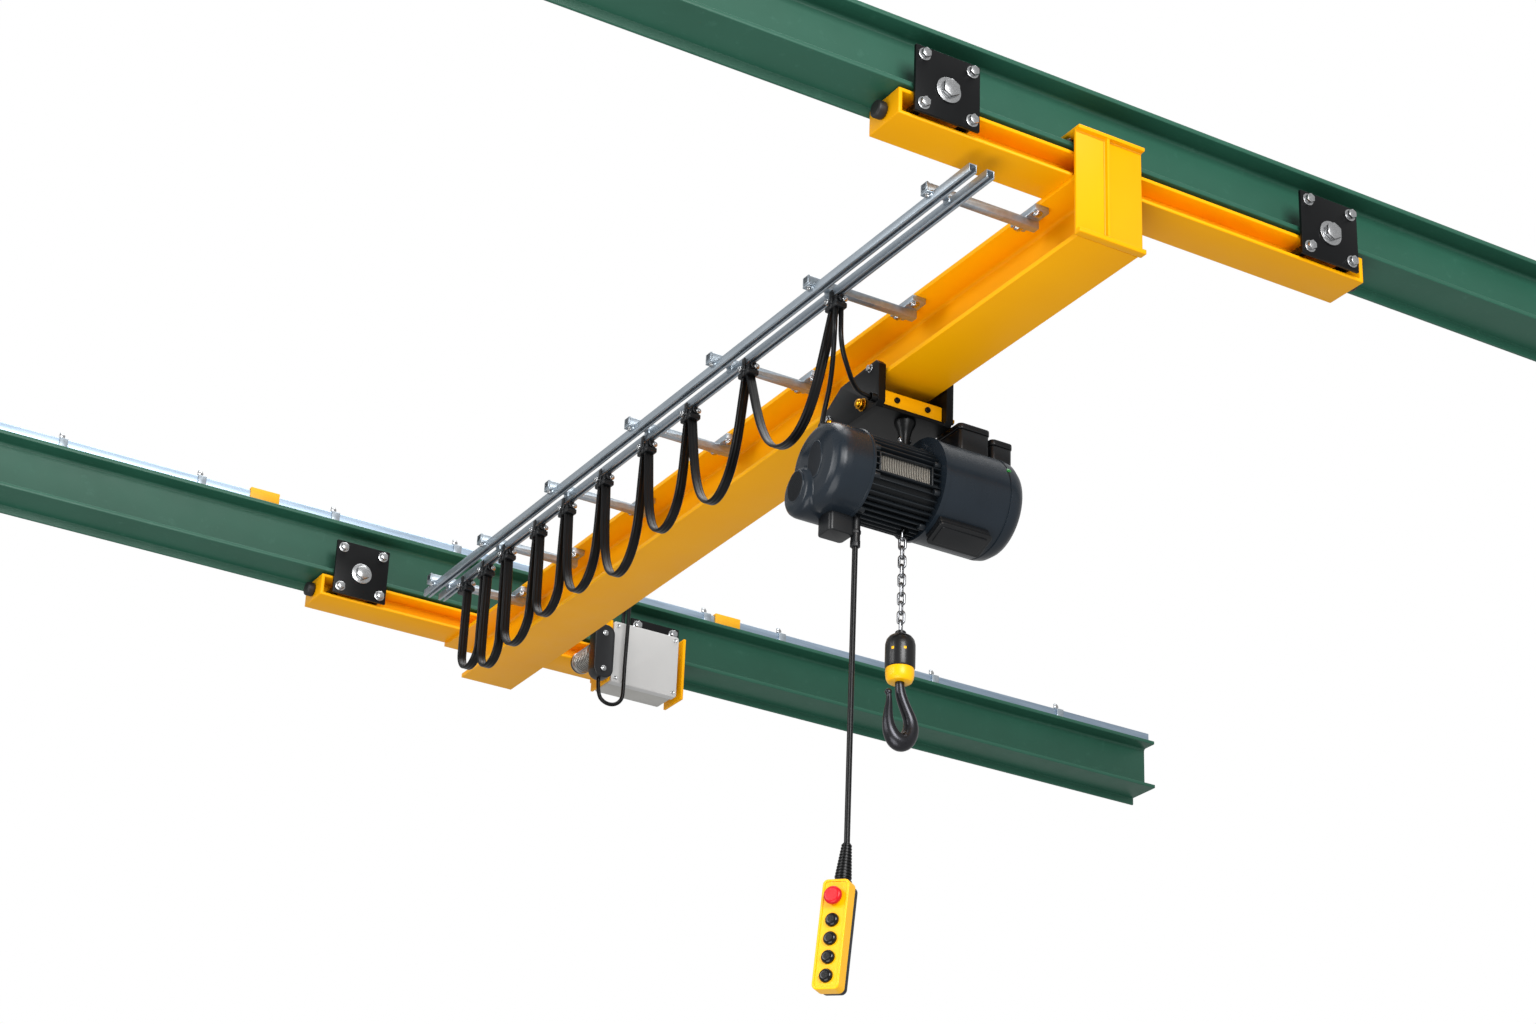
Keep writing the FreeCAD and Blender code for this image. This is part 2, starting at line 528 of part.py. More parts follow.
def build_trolley():
    left = "(girder_offset - girder_width / 2 - trolley_clear - trolley_plate)"
    right = "(girder_offset + girder_width / 2 + trolley_clear)"
    low = "(" + GIRDER_BOTTOM + " - base_drop)"
    plates = []
    for name, x, extra in (("left", left, ""), ("right", right, " + right_extra")):
        body = new_body("trolley_plate_" + name)
        top = "base_drop + trolley_rise" + extra
        outline = [("trolley_near", top + " - 14"), ("trolley_near + 14", top),
                   ("trolley_shoulder", top + " - trolley_fall"), ("trolley_far", top + " - trolley_fall - 60"),
                   ("trolley_far", "30"), ("trolley_far - 45", "0"), ("trolley_near + 12", "0"),
                   ("trolley_near", "12")]
        sketch = outline_sketch(body, name + "_plate_profile", "YZ_Plane", outline)
        pad(body, sketch, name + "_plate_pad", "trolley_plate")
        place(body, x, "0", low)
        plates.append(body)
    base = box("base_slab", (right + " - " + left + " - trolley_plate", "base_far - base_near", "base_thick"),
               (left + " + trolley_plate", "base_near", low))
    gland = rod("trolley_gland", "gland_radius", "gland_length", (left + " - gland_length", 712, BASE_TOP + " + 11"), "x")
    sub_part(fuse("trolley_fuse", plates + [base, gland]), "trolley_frame")
    bar = box("crossbar_bar", (right + " - " + left + " - trolley_plate", "crossbar_thick", "crossbar_height"),
              (left + " + trolley_plate", "crossbar_near", BASE_TOP))
    sub_part(bar, "trolley_crossbar")
    wheels = []
    z = GIRDER_BOTTOM + " + girder_flange + wheel_lift + trolley_wheel"
    for place_y in ("trolley_near + axle_inset", "trolley_shoulder - axle_inset"):
        for side in (-1, 1):
            name = str(len(wheels))
            reach = "girder_width / 2 + trolley_clear"
            tread_x = "girder_offset + trolley_tread_in" if side > 0 else "girder_offset - trolley_tread_out"
            hub_x = "girder_offset + trolley_tread_out" if side > 0 else "girder_offset - (" + reach + ")"
            tread = rod("trolley_tread_" + name, "trolley_wheel", "trolley_tread_out - trolley_tread_in",
                        (tread_x, place_y, z), "x")
            hub = rod("trolley_hub_" + name, "trolley_hub", reach + " - trolley_tread_out", (hub_x, place_y, z), "x")
            wheels.append(fuse("trolley_wheel_" + name, [tread, hub]))
    sub_part(group("trolley_wheel_group", wheels), "trolley_wheels")


def hoist_rod(name, radius, left, right):
    return rod(name, radius, f"{right} - ({left})", (left, "hoist_y", HOIST_AXIS), "x")


def drum_body(label, radius, left, right, rounding, end):
    """A round housing along X with one end's edge rounded: -1 rounds the left end and 1 the right."""
    body = new_body(label + "_body")
    sketch = circle_sketch(body, label + "_circle", "YZ_Plane", "0", "0", radius)
    bind(sketch, "AttachmentOffset.Base.z", left)
    feature = pad(body, sketch, label + "_pad", f"{right} - ({left})")
    doc.recompute()
    box_now = feature.Shape.BoundBox
    edge_x = box_now.XMin if end < 0 else box_now.XMax
    body.Tip = round_edges(body, feature, label + "_round", rounding,
                           lambda edge: edge.Closed and abs(edge.CenterOfMass.x - edge_x) < 0.01)
    place(body, "0", "hoist_y", HOIST_AXIS)
    return body


def build_hoist():
    low = "(" + GIRDER_BOTTOM + " - base_drop)"
    cover = drum_body("fan_shell", "cover_radius", "cover_left", "cover_seam", "cover_round", -1)
    lobe = drum_body("fan_lobe", "lobe_radius", "lobe_left", "lobe_root", "lobe_round", -1)
    place(lobe, "0", "hoist_y + lobe_y", HOIST_AXIS + " - lobe_drop")
    sub_part(fuse("fan_fuse", [cover, lobe]), "fan_cover")
    core = hoist_rod("motor_core", "motor_radius", "cover_seam", "gear_left")
    window = box("window_cut", ("window_right - window_left", "motor_radius", "window_height"),
                 ("window_left", "hoist_y - window_floor - motor_radius", HOIST_AXIS + " - window_height / 2"))
    bore = rod("chain_bore", "bore_radius", "motor_radius + bore_top + 10",
               ("girder_offset", "hoist_y", HOIST_AXIS + " - motor_radius - 10"), "z")
    lug = box("lug_block", ("lug_length", "lug_width", "lug_rise + motor_radius / 2"),
              ("girder_offset - lug_length / 2", "hoist_y - lug_width / 2", HOIST_AXIS + " + motor_radius / 2"))
    sub_part(cut("motor_cut", fuse("motor_fuse", [core, lug]), fuse("motor_tools", [window, bore])), "motor_fins")
    rope = cut("rope_cut", hoist_rod("rope_rod", "drum_radius", "window_left", "window_right"),
               box("rope_back", ("window_right - window_left", "3 * drum_radius", "4 * drum_radius"),
                   ("window_left", "hoist_y - window_floor", HOIST_AXIS + " - 2 * drum_radius")))
    keep = box("rope_keep", ("window_right - window_left", "2 * drum_radius", "window_height"),
               ("window_left", "hoist_y - 2 * drum_radius", HOIST_AXIS + " - window_height / 2"))
    drum = doc.addObject("Part::MultiCommon", "rope_common")
    drum.Shapes = [rope, keep]
    sub_part(drum, "rope_drum")
    gear = drum_body("gear_shell", "gear_radius", "gear_left", "gear_right", "gear_round", 1)
    gear_axis = "(" + HOIST_AXIS + " + gear_lift)"
    place(gear, "0", "hoist_y", gear_axis)
    sub_part(gear, "gear_housing")
    lug_top = HOIST_AXIS + " + motor_radius + lug_rise"
    shaft = rod("eye_shaft", "eye_radius", low + " - (" + lug_top + ")", ("girder_offset", "hoist_y", lug_top), "z")
    washer = rod("eye_washer", "washer_radius", "washer_height",
                 ("girder_offset", "hoist_y", low + " - washer_height"), "z")
    sub_part(fuse("eye_fuse", [shaft, washer]), "hoist_eye")
    boxes = [
        box("top_box", ("top_box_length", "top_box_width", "gear_radius / 2 + top_box_rise"),
            ("top_box_left", "hoist_y - top_box_width / 2", gear_axis + " + gear_radius / 2")),
        box("switch_box", ("switch_box_length", "top_box_width", "gear_radius / 2 + switch_box_rise"),
            ("switch_box_left", "hoist_y - top_box_width / 2", gear_axis + " + gear_radius / 2")),
    ]
    top = [cut(piece.Name + "_cut", piece, rod(piece.Name + "_round", "gear_radius", "gear_right - gear_left",
                                               ("gear_left", "hoist_y", gear_axis), "x"))
           for piece in boxes]
    sub_part(group("top_box_group", top), "terminal_boxes")
    side = cut("side_box_cut", box("side_box", ("side_box_length", "side_box_width", "gear_radius / 2 + side_box_rise"),
                                   ("side_box_left", "0 - side_box_width / 2", "0 - gear_radius - side_box_rise")),
               rod("side_box_round", "gear_radius", "gear_right - gear_left", ("gear_left", "0", "0"), "x"))
    side.Placement.Rotation = FreeCAD.Rotation(FreeCAD.Vector(1, 0, 0), size.side_box_turn)
    place(side, "0", "hoist_y", gear_axis)
    under = box("gland_box", ("gland_box_length", "gland_box_width", "gland_box_drop / 2"),
                ("gland_box_left", "hoist_y - gland_box_near", HOIST_AXIS + " - gland_box_drop"))
    gland = rod("pendant_gland", "gland_radius", "gland_length + stem_drop / 2",
                ("pendant_x", "hoist_y", HOIST_AXIS + " - stem_drop - gland_length"), "z")
    gland_set = cut("gland_cut", fuse("under_fuse", [under, gland]),
                    hoist_rod("gland_box_round", "cover_radius", "gland_box_left - 1", "gear_left"))
    sub_part(group("under_box_group", [side, gland_set]), "underside_boxes")


# The hook's middle line from the block downwards: across, down, and the bar's radius there.
HOOK_LINE = [(0, -6, 11), (4, -32, 13), (17, -60, 14), (31, -86, 16), (34, -108, 18.5), (29, -127, 20.5),
             (18, -143, 21.5), (3, -149, 22), (-12, -143, 20.5), (-24, -126, 17.5), (-30, -103, 13.5),
             (-30, -78, 10.5), (-28, -56, 8), (-28, -38, 6), (-31, -30, 5.5)]


def build_hook():
    block_z = "(" + GIRDER_BOTTOM + " - block_drop)"
    chain = rod("chain_rod", "chain_radius", "block_drop - hoist_drop - motor_radius + chain_inside",
                ("girder_offset", "hoist_y", block_z), "z")
    sub_part(chain, "load_chain")
    body = new_body("block_body")
    radius = "block_radius"
    low = "0 - block_height"
    foot = "0 - block_height - collar_height"
    bore = "shank_radius + shank_clear"
    outline = [("0", "0"), ("chain_radius + 6", "0"), (radius + " - 4", "0 - block_crown"), (radius, "0 - block_crown - 8"),
               (radius, low), ("collar_radius", low), ("collar_radius", foot + " + 14"), ("collar_foot", foot),
               (bore, foot), (bore, foot + " + shank_inside + 2"), ("0", foot + " + shank_inside + 2")]
    sketch = outline_sketch(body, "block_outline", "XZ_Plane", outline)
    turned = body.newObject("PartDesign::Revolution", "block_turned")
    turned.Profile = sketch
    turned.ReferenceAxis = (sketch, ["V_Axis"])
    turned.Angle = 360
    place(body, "girder_offset", "hoist_y", block_z)
    sub_part(body, "hook_block")
    top = -(size.beam_height + size.running_gap + size.carriage_height + size.girder_height + size.block_drop
            + size.block_height + size.collar_height)
    line = [(0, size.shank_inside, size.shank_radius)] + HOOK_LINE
    rings = []
    for index, (across, up, radius_here) in enumerate(line):
        before = line[max(index - 1, 0)]
        after = line[min(index + 1, len(line) - 1)]
        heading = FreeCAD.Vector(after[0] - before[0], 0, after[1] - before[1])
        if index < 2:
            heading = FreeCAD.Vector(0, 0, -1)
        middle = FreeCAD.Vector(size.girder_offset + across, size.hoist_y, top + up)
        rings.append(Part.Wire([Part.makeCircle(radius_here, middle, heading)]))
    hook = doc.addObject("Part::Feature", "hook_loft")
    hook.Shape = Part.makeLoft(rings, True, True)
    sub_part(hook, "hook")


def round_along_y(body, feature, name, radius, depth):
    """Rounds the corners that run along Y: all of them, or those of a pocket of the given depth."""
    return round_edges(body, feature, name, radius, lambda edge: along(edge, FreeCAD.Vector(0, 1, 0))
                       and (depth == 0 or abs(edge.Length - depth) < 0.01))


def outward_knob(name, radius, rise, rounding, y, z):
    """A round knob with a rounded edge that stands out of the pendant's front."""
    body = drum_body(name, radius, "0", rise, rounding, 1)
    place(body, "0", y, z)
    body.Placement.Rotation = FreeCAD.Rotation(FreeCAD.Vector(0, 0, 1), -90)
    return body


def build_pendant():
    """The push-button pendant hangs on its cable, turned to its user and leaning a little."""
    cable_top = "(" + HOIST_AXIS + " - stem_drop - gland_length)"
    sleeve_top = "(" + GIRDER_BOTTOM + " - sleeve_drop)"
    cable = rod("pendant_rod", "pendant_cable / 2", cable_top + " - " + sleeve_top + " + cable_in_sleeve",
                ("pendant_x", "hoist_y", sleeve_top + " - cable_in_sleeve"), "z")
    sub_part(cable, "pendant_cable")
    view = FreeCAD.Vector(0.5, 0.866, 0)
    turn = FreeCAD.Rotation(view, size.pendant_lean) * FreeCAD.Rotation(FreeCAD.Vector(0, 0, 1), size.pendant_turn)
    top_z = -(size.beam_height + size.running_gap + size.carriage_height + size.girder_height + size.sleeve_drop)
    base = FreeCAD.Vector(size.pendant_x, size.hoist_y, top_z) - turn.multVec(FreeCAD.Vector(0, 0, size.sleeve_length))
    frame = FreeCAD.Placement(base, turn)
    sleeve = doc.addObject("Part::Cone", "sleeve_cone")
    bind(sleeve, "Radius1", "sleeve_bottom")
    bind(sleeve, "Radius2", "sleeve_top")
    bind(sleeve, "Height", "sleeve_length")
    half = "pendant_width / 2"
    shell = new_body("shell_body")
    face = outline_sketch(shell, "shell_profile", "XZ_Plane", rectangle("0 - " + half, "0 - pendant_height", half, "0"))
    case = round_along_y(shell, pad(shell, face, "shell_pad", "front_depth"), "shell_corners", "pendant_corner", 0)
    rim = round_edges(shell, case, "shell_rim", "pendant_rim", lambda edge: edge.BoundBox.YMax < 0.01 - size.front_depth)
    panel = rectangle("0 - " + half + " + panel_inset", "0 - pendant_height + panel_inset", half + " - panel_inset",
                      "0 - panel_inset")
    sunk = outline_sketch(shell, "panel_profile", "XZ_Plane", panel)
    bind(sunk, "AttachmentOffset.Base.z", "front_depth")
    pocket = shell.newObject("PartDesign::Pocket", "panel_pocket")
    pocket.Profile = sunk
    bind(pocket, "Length", "panel_depth")
    sunk.Visibility = False
    shell.Tip = round_along_y(shell, pocket, "panel_corners", "panel_corner", size.panel_depth)
    back = new_body("back_body")
    outline = rectangle("0 - " + half + " + back_inset", "0 - pendant_height + back_inset", half + " - back_inset",
                        "0 - back_inset")
    rear = outline_sketch(back, "back_profile", "XZ_Plane", outline)
    block = round_along_y(back, pad(back, rear, "back_pad", "back_depth", reverse=True), "back_corners",
                          "pendant_corner", 0)
    back.Tip = round_edges(back, block, "back_rim", "back_round",
                           lambda edge: edge.BoundBox.YMin > size.back_depth - 0.01)
    panel_y = "0 - front_depth + panel_depth"
    neck = rod("stop_neck", "stop_stem", "stop_rise", ("0", panel_y, "0 - stop_place"), "y")
    neck.Placement.Rotation = FreeCAD.Rotation(FreeCAD.Vector(1, 0, 0), 90)
    head = outward_knob("stop_head", "stop_radius", "stop_cap", "stop_round", panel_y + " - stop_rise + stop_cap",
                        "0 - stop_place")
    stop = fuse("stop_fuse", [neck, head])
    buttons = group("button_group", [outward_knob("button_" + str(number), "button_radius", "button_rise",
                                                  "button_round", panel_y,
                                                  f"0 - button_first - {number} * button_pitch")
                                     for number in range(4)])
    for piece, label in ((sleeve, "pendant_sleeve"), (shell, "pendant_shell"), (back, "pendant_back"),
                         (stop, "stop_button"), (buttons, "push_buttons")):
        piece.Placement = frame
        sub_part(piece, label)


def build_drive():
    near = "(gauge - gearbox_reach)"
    front = "(gauge - box_reach)"
    low = CARRIAGE_BOTTOM + " + gearbox_rise - gearbox_length"
    gearbox = box("gearbox_block", ("gearbox_width", "gearbox_thick", "gearbox_length"),
                  ("gearbox_left", near, low))
    sub_part(gearbox, "drive_gearbox")
    sub_part(rod("drive_motor_rod", "motor_round", "motor_length",
                 ("motor_x + motor_round - 8", near + " + gearbox_thick", CARRIAGE_BOTTOM + " - motor_drop"), "y"),
             "drive_motor")
    low = "(" + CARRIAGE_BOTTOM + " + box_rise - box_height)"
    case = box("case_block", ("box_width", "box_depth", "box_height"), ("box_left", front, low))
    gland = rod("case_gland", "box_gland", "box_gland_length", (300, front + " + box_gland_in", low + " + box_height"), "z")
    sub_part(fuse("case_fuse", [case, gland]), "control_box")
    left = "(box_left - cheek_gap_left - sheet)"
    span = "(box_width + cheek_gap_left + cheek_gap_right + 2 * sheet)"
    pieces = [
        box("bracket_back", (span, "sheet", "box_height - back_rise"),
            (left, front + " + box_depth", low + " + back_rise")),
        box("bracket_left", ("sheet", "box_depth", "box_height"), (left, front, low)),
        box("bracket_right", ("sheet", "box_depth", "box_height"),
            ("box_left + box_width + cheek_gap_right", front, low)),
        box("bracket_foot", (span, "foot_length", "sheet"),
            (left, front + " + box_depth + sheet", CARRIAGE_BOTTOM + " - sheet")),
    ]
    sub_part(fuse("bracket_fuse", pieces), "control_box_bracket")


def build_cables():
    for label, route, diameter in (("trolley_cable", TROLLEY_ROUTE, size.trolley_cable),
                                   ("hoist_cable", HOIST_ROUTE, size.trolley_cable),
                                   ("drive_cable", DRIVE_ROUTE, size.drive_cable)):
        sub_part(tube_along(label + "_tube", route, diameter), label)


def main():
    build_runways()
    build_carriages()
    build_wheels()
    build_girder()
    build_head()
    build_festoon()
    build_carriers()
    build_loops()
    build_trolley()
    build_hoist()
    build_hook()
    build_pendant()
    build_drive()
    build_cables()


main()
doc.recompute()
faults = [piece.Name for piece in doc.Objects if "Invalid" in piece.State or "Error" in piece.State]
for piece in sub_parts:
    shape = piece.Shape
    if shape.isNull() or not shape.isValid() or not shape.Solids:
        faults.append(piece.Label)
if faults:
    sys.exit("failed: " + ", ".join(faults))
os.makedirs("parts", exist_ok=True)
for piece in sub_parts:
    piece.Shape.exportStep("parts/" + piece.Label + ".step")
    low = piece.Shape.BoundBox
    print(f"{piece.Label}: {len(piece.Shape.Solids)} solids, {piece.Shape.Volume / 1e6:.3f} dm3, "
          f"x {low.XMin:.0f}..{low.XMax:.0f} y {low.YMin:.0f}..{low.YMax:.0f} z {low.ZMin:.0f}..{low.ZMax:.0f}")
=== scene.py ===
import json
import math
import bpy
from mathutils import Matrix, Vector

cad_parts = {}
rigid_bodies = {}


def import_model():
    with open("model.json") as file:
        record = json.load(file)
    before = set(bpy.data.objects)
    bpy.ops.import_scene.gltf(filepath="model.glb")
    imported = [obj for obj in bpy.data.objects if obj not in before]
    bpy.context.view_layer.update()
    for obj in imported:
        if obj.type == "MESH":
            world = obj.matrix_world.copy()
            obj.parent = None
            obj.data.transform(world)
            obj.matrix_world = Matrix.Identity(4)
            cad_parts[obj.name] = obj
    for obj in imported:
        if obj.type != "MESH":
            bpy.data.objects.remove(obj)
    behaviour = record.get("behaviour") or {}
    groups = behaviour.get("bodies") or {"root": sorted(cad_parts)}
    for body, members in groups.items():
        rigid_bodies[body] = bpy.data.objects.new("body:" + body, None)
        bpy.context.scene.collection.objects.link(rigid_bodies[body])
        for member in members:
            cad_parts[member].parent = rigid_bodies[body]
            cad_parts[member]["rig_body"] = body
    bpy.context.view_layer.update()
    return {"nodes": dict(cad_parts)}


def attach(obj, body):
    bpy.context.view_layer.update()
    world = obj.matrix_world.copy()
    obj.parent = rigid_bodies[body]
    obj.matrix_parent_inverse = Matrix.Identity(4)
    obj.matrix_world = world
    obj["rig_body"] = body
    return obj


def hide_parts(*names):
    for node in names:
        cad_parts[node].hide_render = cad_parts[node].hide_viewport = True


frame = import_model()
nodes = frame["nodes"]
print("frame loaded:", len(nodes), "nodes")


# camera: below the crane, looking up along it
camera = {
    "place": (-3.7156, -4.8911, -3.9617),
    "right": (0.85769, -0.51284, 0.03697),
    "up": (-0.25038, -0.35379, 0.90119),
    "lens": 72.76,
}


def makeCamera():
    data = bpy.data.cameras.new("viewCamera")
    data.sensor_width = 36
    data.lens = camera["lens"]
    data.clip_end = 200
    viewCamera = bpy.data.objects.new("viewCamera", data)
    bpy.context.scene.collection.objects.link(viewCamera)
    right = Vector(camera["right"])
    up = Vector(camera["up"])
    turn = Matrix((right, up, right.cross(up))).transposed().to_4x4()
    viewCamera.matrix_world = Matrix.Translation(camera["place"]) @ turn
    bpy.context.scene.camera = viewCamera


# helpers that every piece shares
aligned = 0.99


def pickOnly(*pieces):
    bpy.ops.object.select_all(action="DESELECT")
    for piece in pieces:
        piece.select_set(True)
    bpy.context.view_layer.objects.active = pieces[0]


def settle(piece):
    pickOnly(piece)
    bpy.ops.object.transform_apply(location=True, rotation=True, scale=True)
    return piece


def useModifier(piece, kind, **settings):
    pickOnly(piece)
    modifier = piece.modifiers.new(kind.lower(), kind)
    for setting, value in settings.items():
        setattr(modifier, setting, value)
    bpy.ops.object.modifier_apply(modifier=modifier.name)
    return piece


def softEdges(piece, width, segments=2, angle=30):
    return useModifier(piece, "BEVEL", width=width, segments=segments, limit_method="ANGLE",
                       angle_limit=math.radians(angle))


def addBlock(low, high):
    low, high = Vector(low), Vector(high)
    bpy.ops.object.select_all(action="DESELECT")
    bpy.ops.mesh.primitive_cube_add(size=1, location=(low + high) / 2, scale=high - low)
    return settle(bpy.context.object)


def addRod(start, end, radius, sides=32):
    start, end = Vector(start), Vector(end)
    bpy.ops.object.select_all(action="DESELECT")
    bpy.ops.mesh.primitive_cylinder_add(vertices=sides, radius=radius, depth=(end - start).length,
                                        location=(start + end) / 2,
                                        rotation=(end - start).to_track_quat("Z", "Y").to_euler())
    return settle(bpy.context.object)


def enterEdit():
    bpy.ops.object.mode_set(mode="EDIT")


def leaveEdit():
    bpy.ops.object.mode_set(mode="OBJECT")


def editAll(piece):
    pickOnly(piece)
    enterEdit()
    bpy.ops.mesh.select_all(action="SELECT")


def editSome(piece, kind, parts, test):
    pickOnly(piece)
    enterEdit()
    bpy.ops.mesh.select_mode(type=kind)
    bpy.ops.mesh.select_all(action="DESELECT")
    leaveEdit()
    for part in parts:
        part.select = test(part)
    enterEdit()


def editFaces(piece, test):
    editSome(piece, "FACE", piece.data.polygons, test)


def facing(direction):
    return lambda face: face.normal.dot(Vector(direction)) > aligned


def insetStep(piece, test, rim, depth):
    editFaces(piece, test)
    bpy.ops.mesh.inset(thickness=rim, depth=depth)
    leaveEdit()
    return piece


def turnProfile(profile, steps=64, angle=math.tau):
    mesh = bpy.data.meshes.new("profile")
    mesh.from_pydata([(radius, 0, height) for radius, height in profile],
                     [(i, i + 1) for i in range(len(profile) - 1)], [])
    piece = bpy.data.objects.new("profile", mesh)
    bpy.context.scene.collection.objects.link(piece)
    editAll(piece)
    bpy.ops.mesh.spin(steps=steps, angle=angle, center=(0, 0, 0), axis=(0, 0, 1))
    bpy.ops.mesh.select_all(action="SELECT")
    bpy.ops.mesh.remove_doubles(threshold=0.00001)
    bpy.ops.mesh.normals_make_consistent(inside=False)
    leaveEdit()
    return piece


def lay(piece, place, turn=(0, 0, 0)):
    piece.rotation_euler = [math.radians(angle) for angle in turn]
    piece.location = place
    return settle(piece)


def twin(piece, shift=(0, 0, 0)):
    copy = piece.copy()
    copy.data = piece.data.copy()
    bpy.context.scene.collection.objects.link(copy)
    copy.data.transform(Matrix.Translation(shift))
    return copy


def joined(pieces):
    pickOnly(*pieces)
    if len(pieces) > 1:
        bpy.ops.object.join()
    return bpy.context.view_layer.objects.active


def done(piece, name, body, material, replaces=(), smooth=35):
    pickOnly(piece)
    bpy.ops.object.shade_smooth_by_angle(angle=math.radians(smooth))
    piece.name = name
    piece.data.name = name
    piece.data.materials.clear()
    piece.data.materials.append(material)
    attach(piece, body)
    if replaces:
        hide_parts(*replaces)
    return piece


def softened(node, name, material, width=0.0012, segments=2):
    source = nodes[node]
    piece = bpy.data.objects.new(name, source.data.copy())
    bpy.context.scene.collection.objects.link(piece)
    editAll(piece)
    bpy.ops.mesh.remove_doubles(threshold=0.00002)
    bpy.ops.mesh.dissolve_limited(angle_limit=math.radians(0.5))
    leaveEdit()
    softEdges(piece, width, segments)
    return done(piece, name, source["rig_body"], material, [node])


def fromHex(code):
    parts = [int(code[i:i + 2], 16) / 255 for i in (1, 3, 5)]
    return [part / 12.92 if part <= 0.04045 else ((part + 0.055) / 1.055) ** 2.4 for part in parts] + [1]


def addNode(tree, kind, inputs=None, **settings):
    node = tree.nodes.new("ShaderNode" + kind)
    for setting, value in settings.items():
        setattr(node, setting, value)
    for socket, value in (inputs or {}).items():
        if isinstance(value, bpy.types.NodeSocket):
            tree.links.new(value, node.inputs[socket])
        else:
            node.inputs[socket].default_value = value
    return node


def newMaterial(name):
    material = bpy.data.materials.new(name)
    material.use_nodes = True
    tree = material.node_tree
    shader = tree.nodes["Principled BSDF"]
    place = addNode(tree, "TexCoord").outputs["Object"]
    return material, tree, shader, place


def blend(tree, factor, first, second):
    return addNode(tree, "Mix", {"Factor": factor, "A": first, "B": second}, data_type="RGBA").outputs["Result"]


def roughen(tree, shader, value, low, high):
    spread = addNode(tree, "MapRange", {"Value": value, "To Min": low, "To Max": high})
    tree.links.new(spread.outputs["Result"], shader.inputs["Roughness"])


def emboss(tree, shader, height, strength, distance):
    bump = addNode(tree, "Bump", {"Height": height, "Strength": strength, "Distance": distance})
    tree.links.new(bump.outputs["Normal"], shader.inputs["Normal"])


def enamel(name, base, deep, gloss, cloudSize=180, peelSize=4, peel=0.06, dust=None, shine=0.5):
    # Sprayed enamel: an even coat with faint clouds in its colour and a fine orange peel.
    material, tree, shader, place = newMaterial(name)
    clouds = addNode(tree, "TexNoise", {"Vector": place, "Scale": 1000 / cloudSize, "Detail": 4.0})
    colour = blend(tree, clouds.outputs["Fac"], fromHex(deep), fromHex(base))
    if dust:
        grime = addNode(tree, "TexNoise", {"Vector": place, "Scale": 1000 / 35, "Detail": 8.0, "Roughness": 0.7})
        some = addNode(tree, "MapRange", {"Value": grime.outputs["Fac"], "From Min": 0.58, "From Max": 0.8,
                                          "To Max": 0.35})
        colour = blend(tree, some.outputs["Result"], colour, fromHex(dust))
    tree.links.new(colour, shader.inputs["Base Color"])
    shader.inputs["Specular IOR Level"].default_value = shine
    smears = addNode(tree, "TexNoise", {"Vector": place, "Scale": 1000 / 60, "Detail": 3.0})
    roughen(tree, shader, smears.outputs["Fac"], gloss - 0.06, gloss + 0.08)
    skin = addNode(tree, "TexNoise", {"Vector": place, "Scale": 1000 / peelSize, "Detail": 2.0})
    emboss(tree, shader, skin.outputs["Fac"], peel, 0.0004)
    return material


def bareMetal(name, light, dark, rough, grain=(1, 1, 1), grainSize=3, spangle=0.0, spangleSize=9, metal=1.0):
    # Bare metal: fine drawn or turned grain, with zinc's crystals on what is galvanised.
    material, tree, shader, place = newMaterial(name)
    shader.inputs["Metallic"].default_value = metal
    stretch = addNode(tree, "Mapping", {"Vector": place, "Scale": [1000 / grainSize * part for part in grain]})
    lines = addNode(tree, "TexNoise", {"Vector": stretch.outputs["Vector"], "Scale": 1.0, "Detail": 5.0})
    tone = lines.outputs["Fac"]
    if spangle:
        crystals = addNode(tree, "TexVoronoi", {"Vector": place, "Scale": 1000 / spangleSize})
        tone = blend(tree, spangle, tone, crystals.outputs["Color"])
    tree.links.new(blend(tree, tone, fromHex(dark), fromHex(light)), shader.inputs["Base Color"])
    roughen(tree, shader, lines.outputs["Fac"], rough - 0.08, rough + 0.1)
    emboss(tree, shader, lines.outputs["Fac"], 0.15, 0.0003)
    return material


def moulded(name, base, deep, rough, grainSize=1.2, grain=0.06, shine=0.5):
    # Moulded plastic or rubber: one colour through, with the mould's fine spark grain.
    material, tree, shader, place = newMaterial(name)
    flow = addNode(tree, "TexNoise", {"Vector": place, "Scale": 1000 / 45, "Detail": 5.0})
    tree.links.new(blend(tree, flow.outputs["Fac"], fromHex(deep), fromHex(base)), shader.inputs["Base Color"])
    spark = addNode(tree, "TexNoise", {"Vector": place, "Scale": 1000 / grainSize, "Detail": 3.0})
    roughen(tree, shader, spark.outputs["Fac"], rough - 0.06, rough + 0.1)
    emboss(tree, shader, spark.outputs["Fac"], grain, 0.0002)
    shader.inputs["Specular IOR Level"].default_value = shine
    return material


def woundWire(name, light, dark, pitch):
    # Steel wire rope laid turn by turn: a painted highlight on each turn's crown and painted shade where two turns
    # meet.
    material, tree, shader, place = newMaterial(name)
    bands = addNode(tree, "TexWave", {"Vector": place, "Scale": math.tau / (20 * pitch)}, bands_direction="X")
    tree.links.new(blend(tree, bands.outputs["Fac"], fromHex(dark), fromHex(light)), shader.inputs["Base Color"])
    shader.inputs["Metallic"].default_value = 0.6
    shader.inputs["Roughness"].default_value = 0.45
    return material


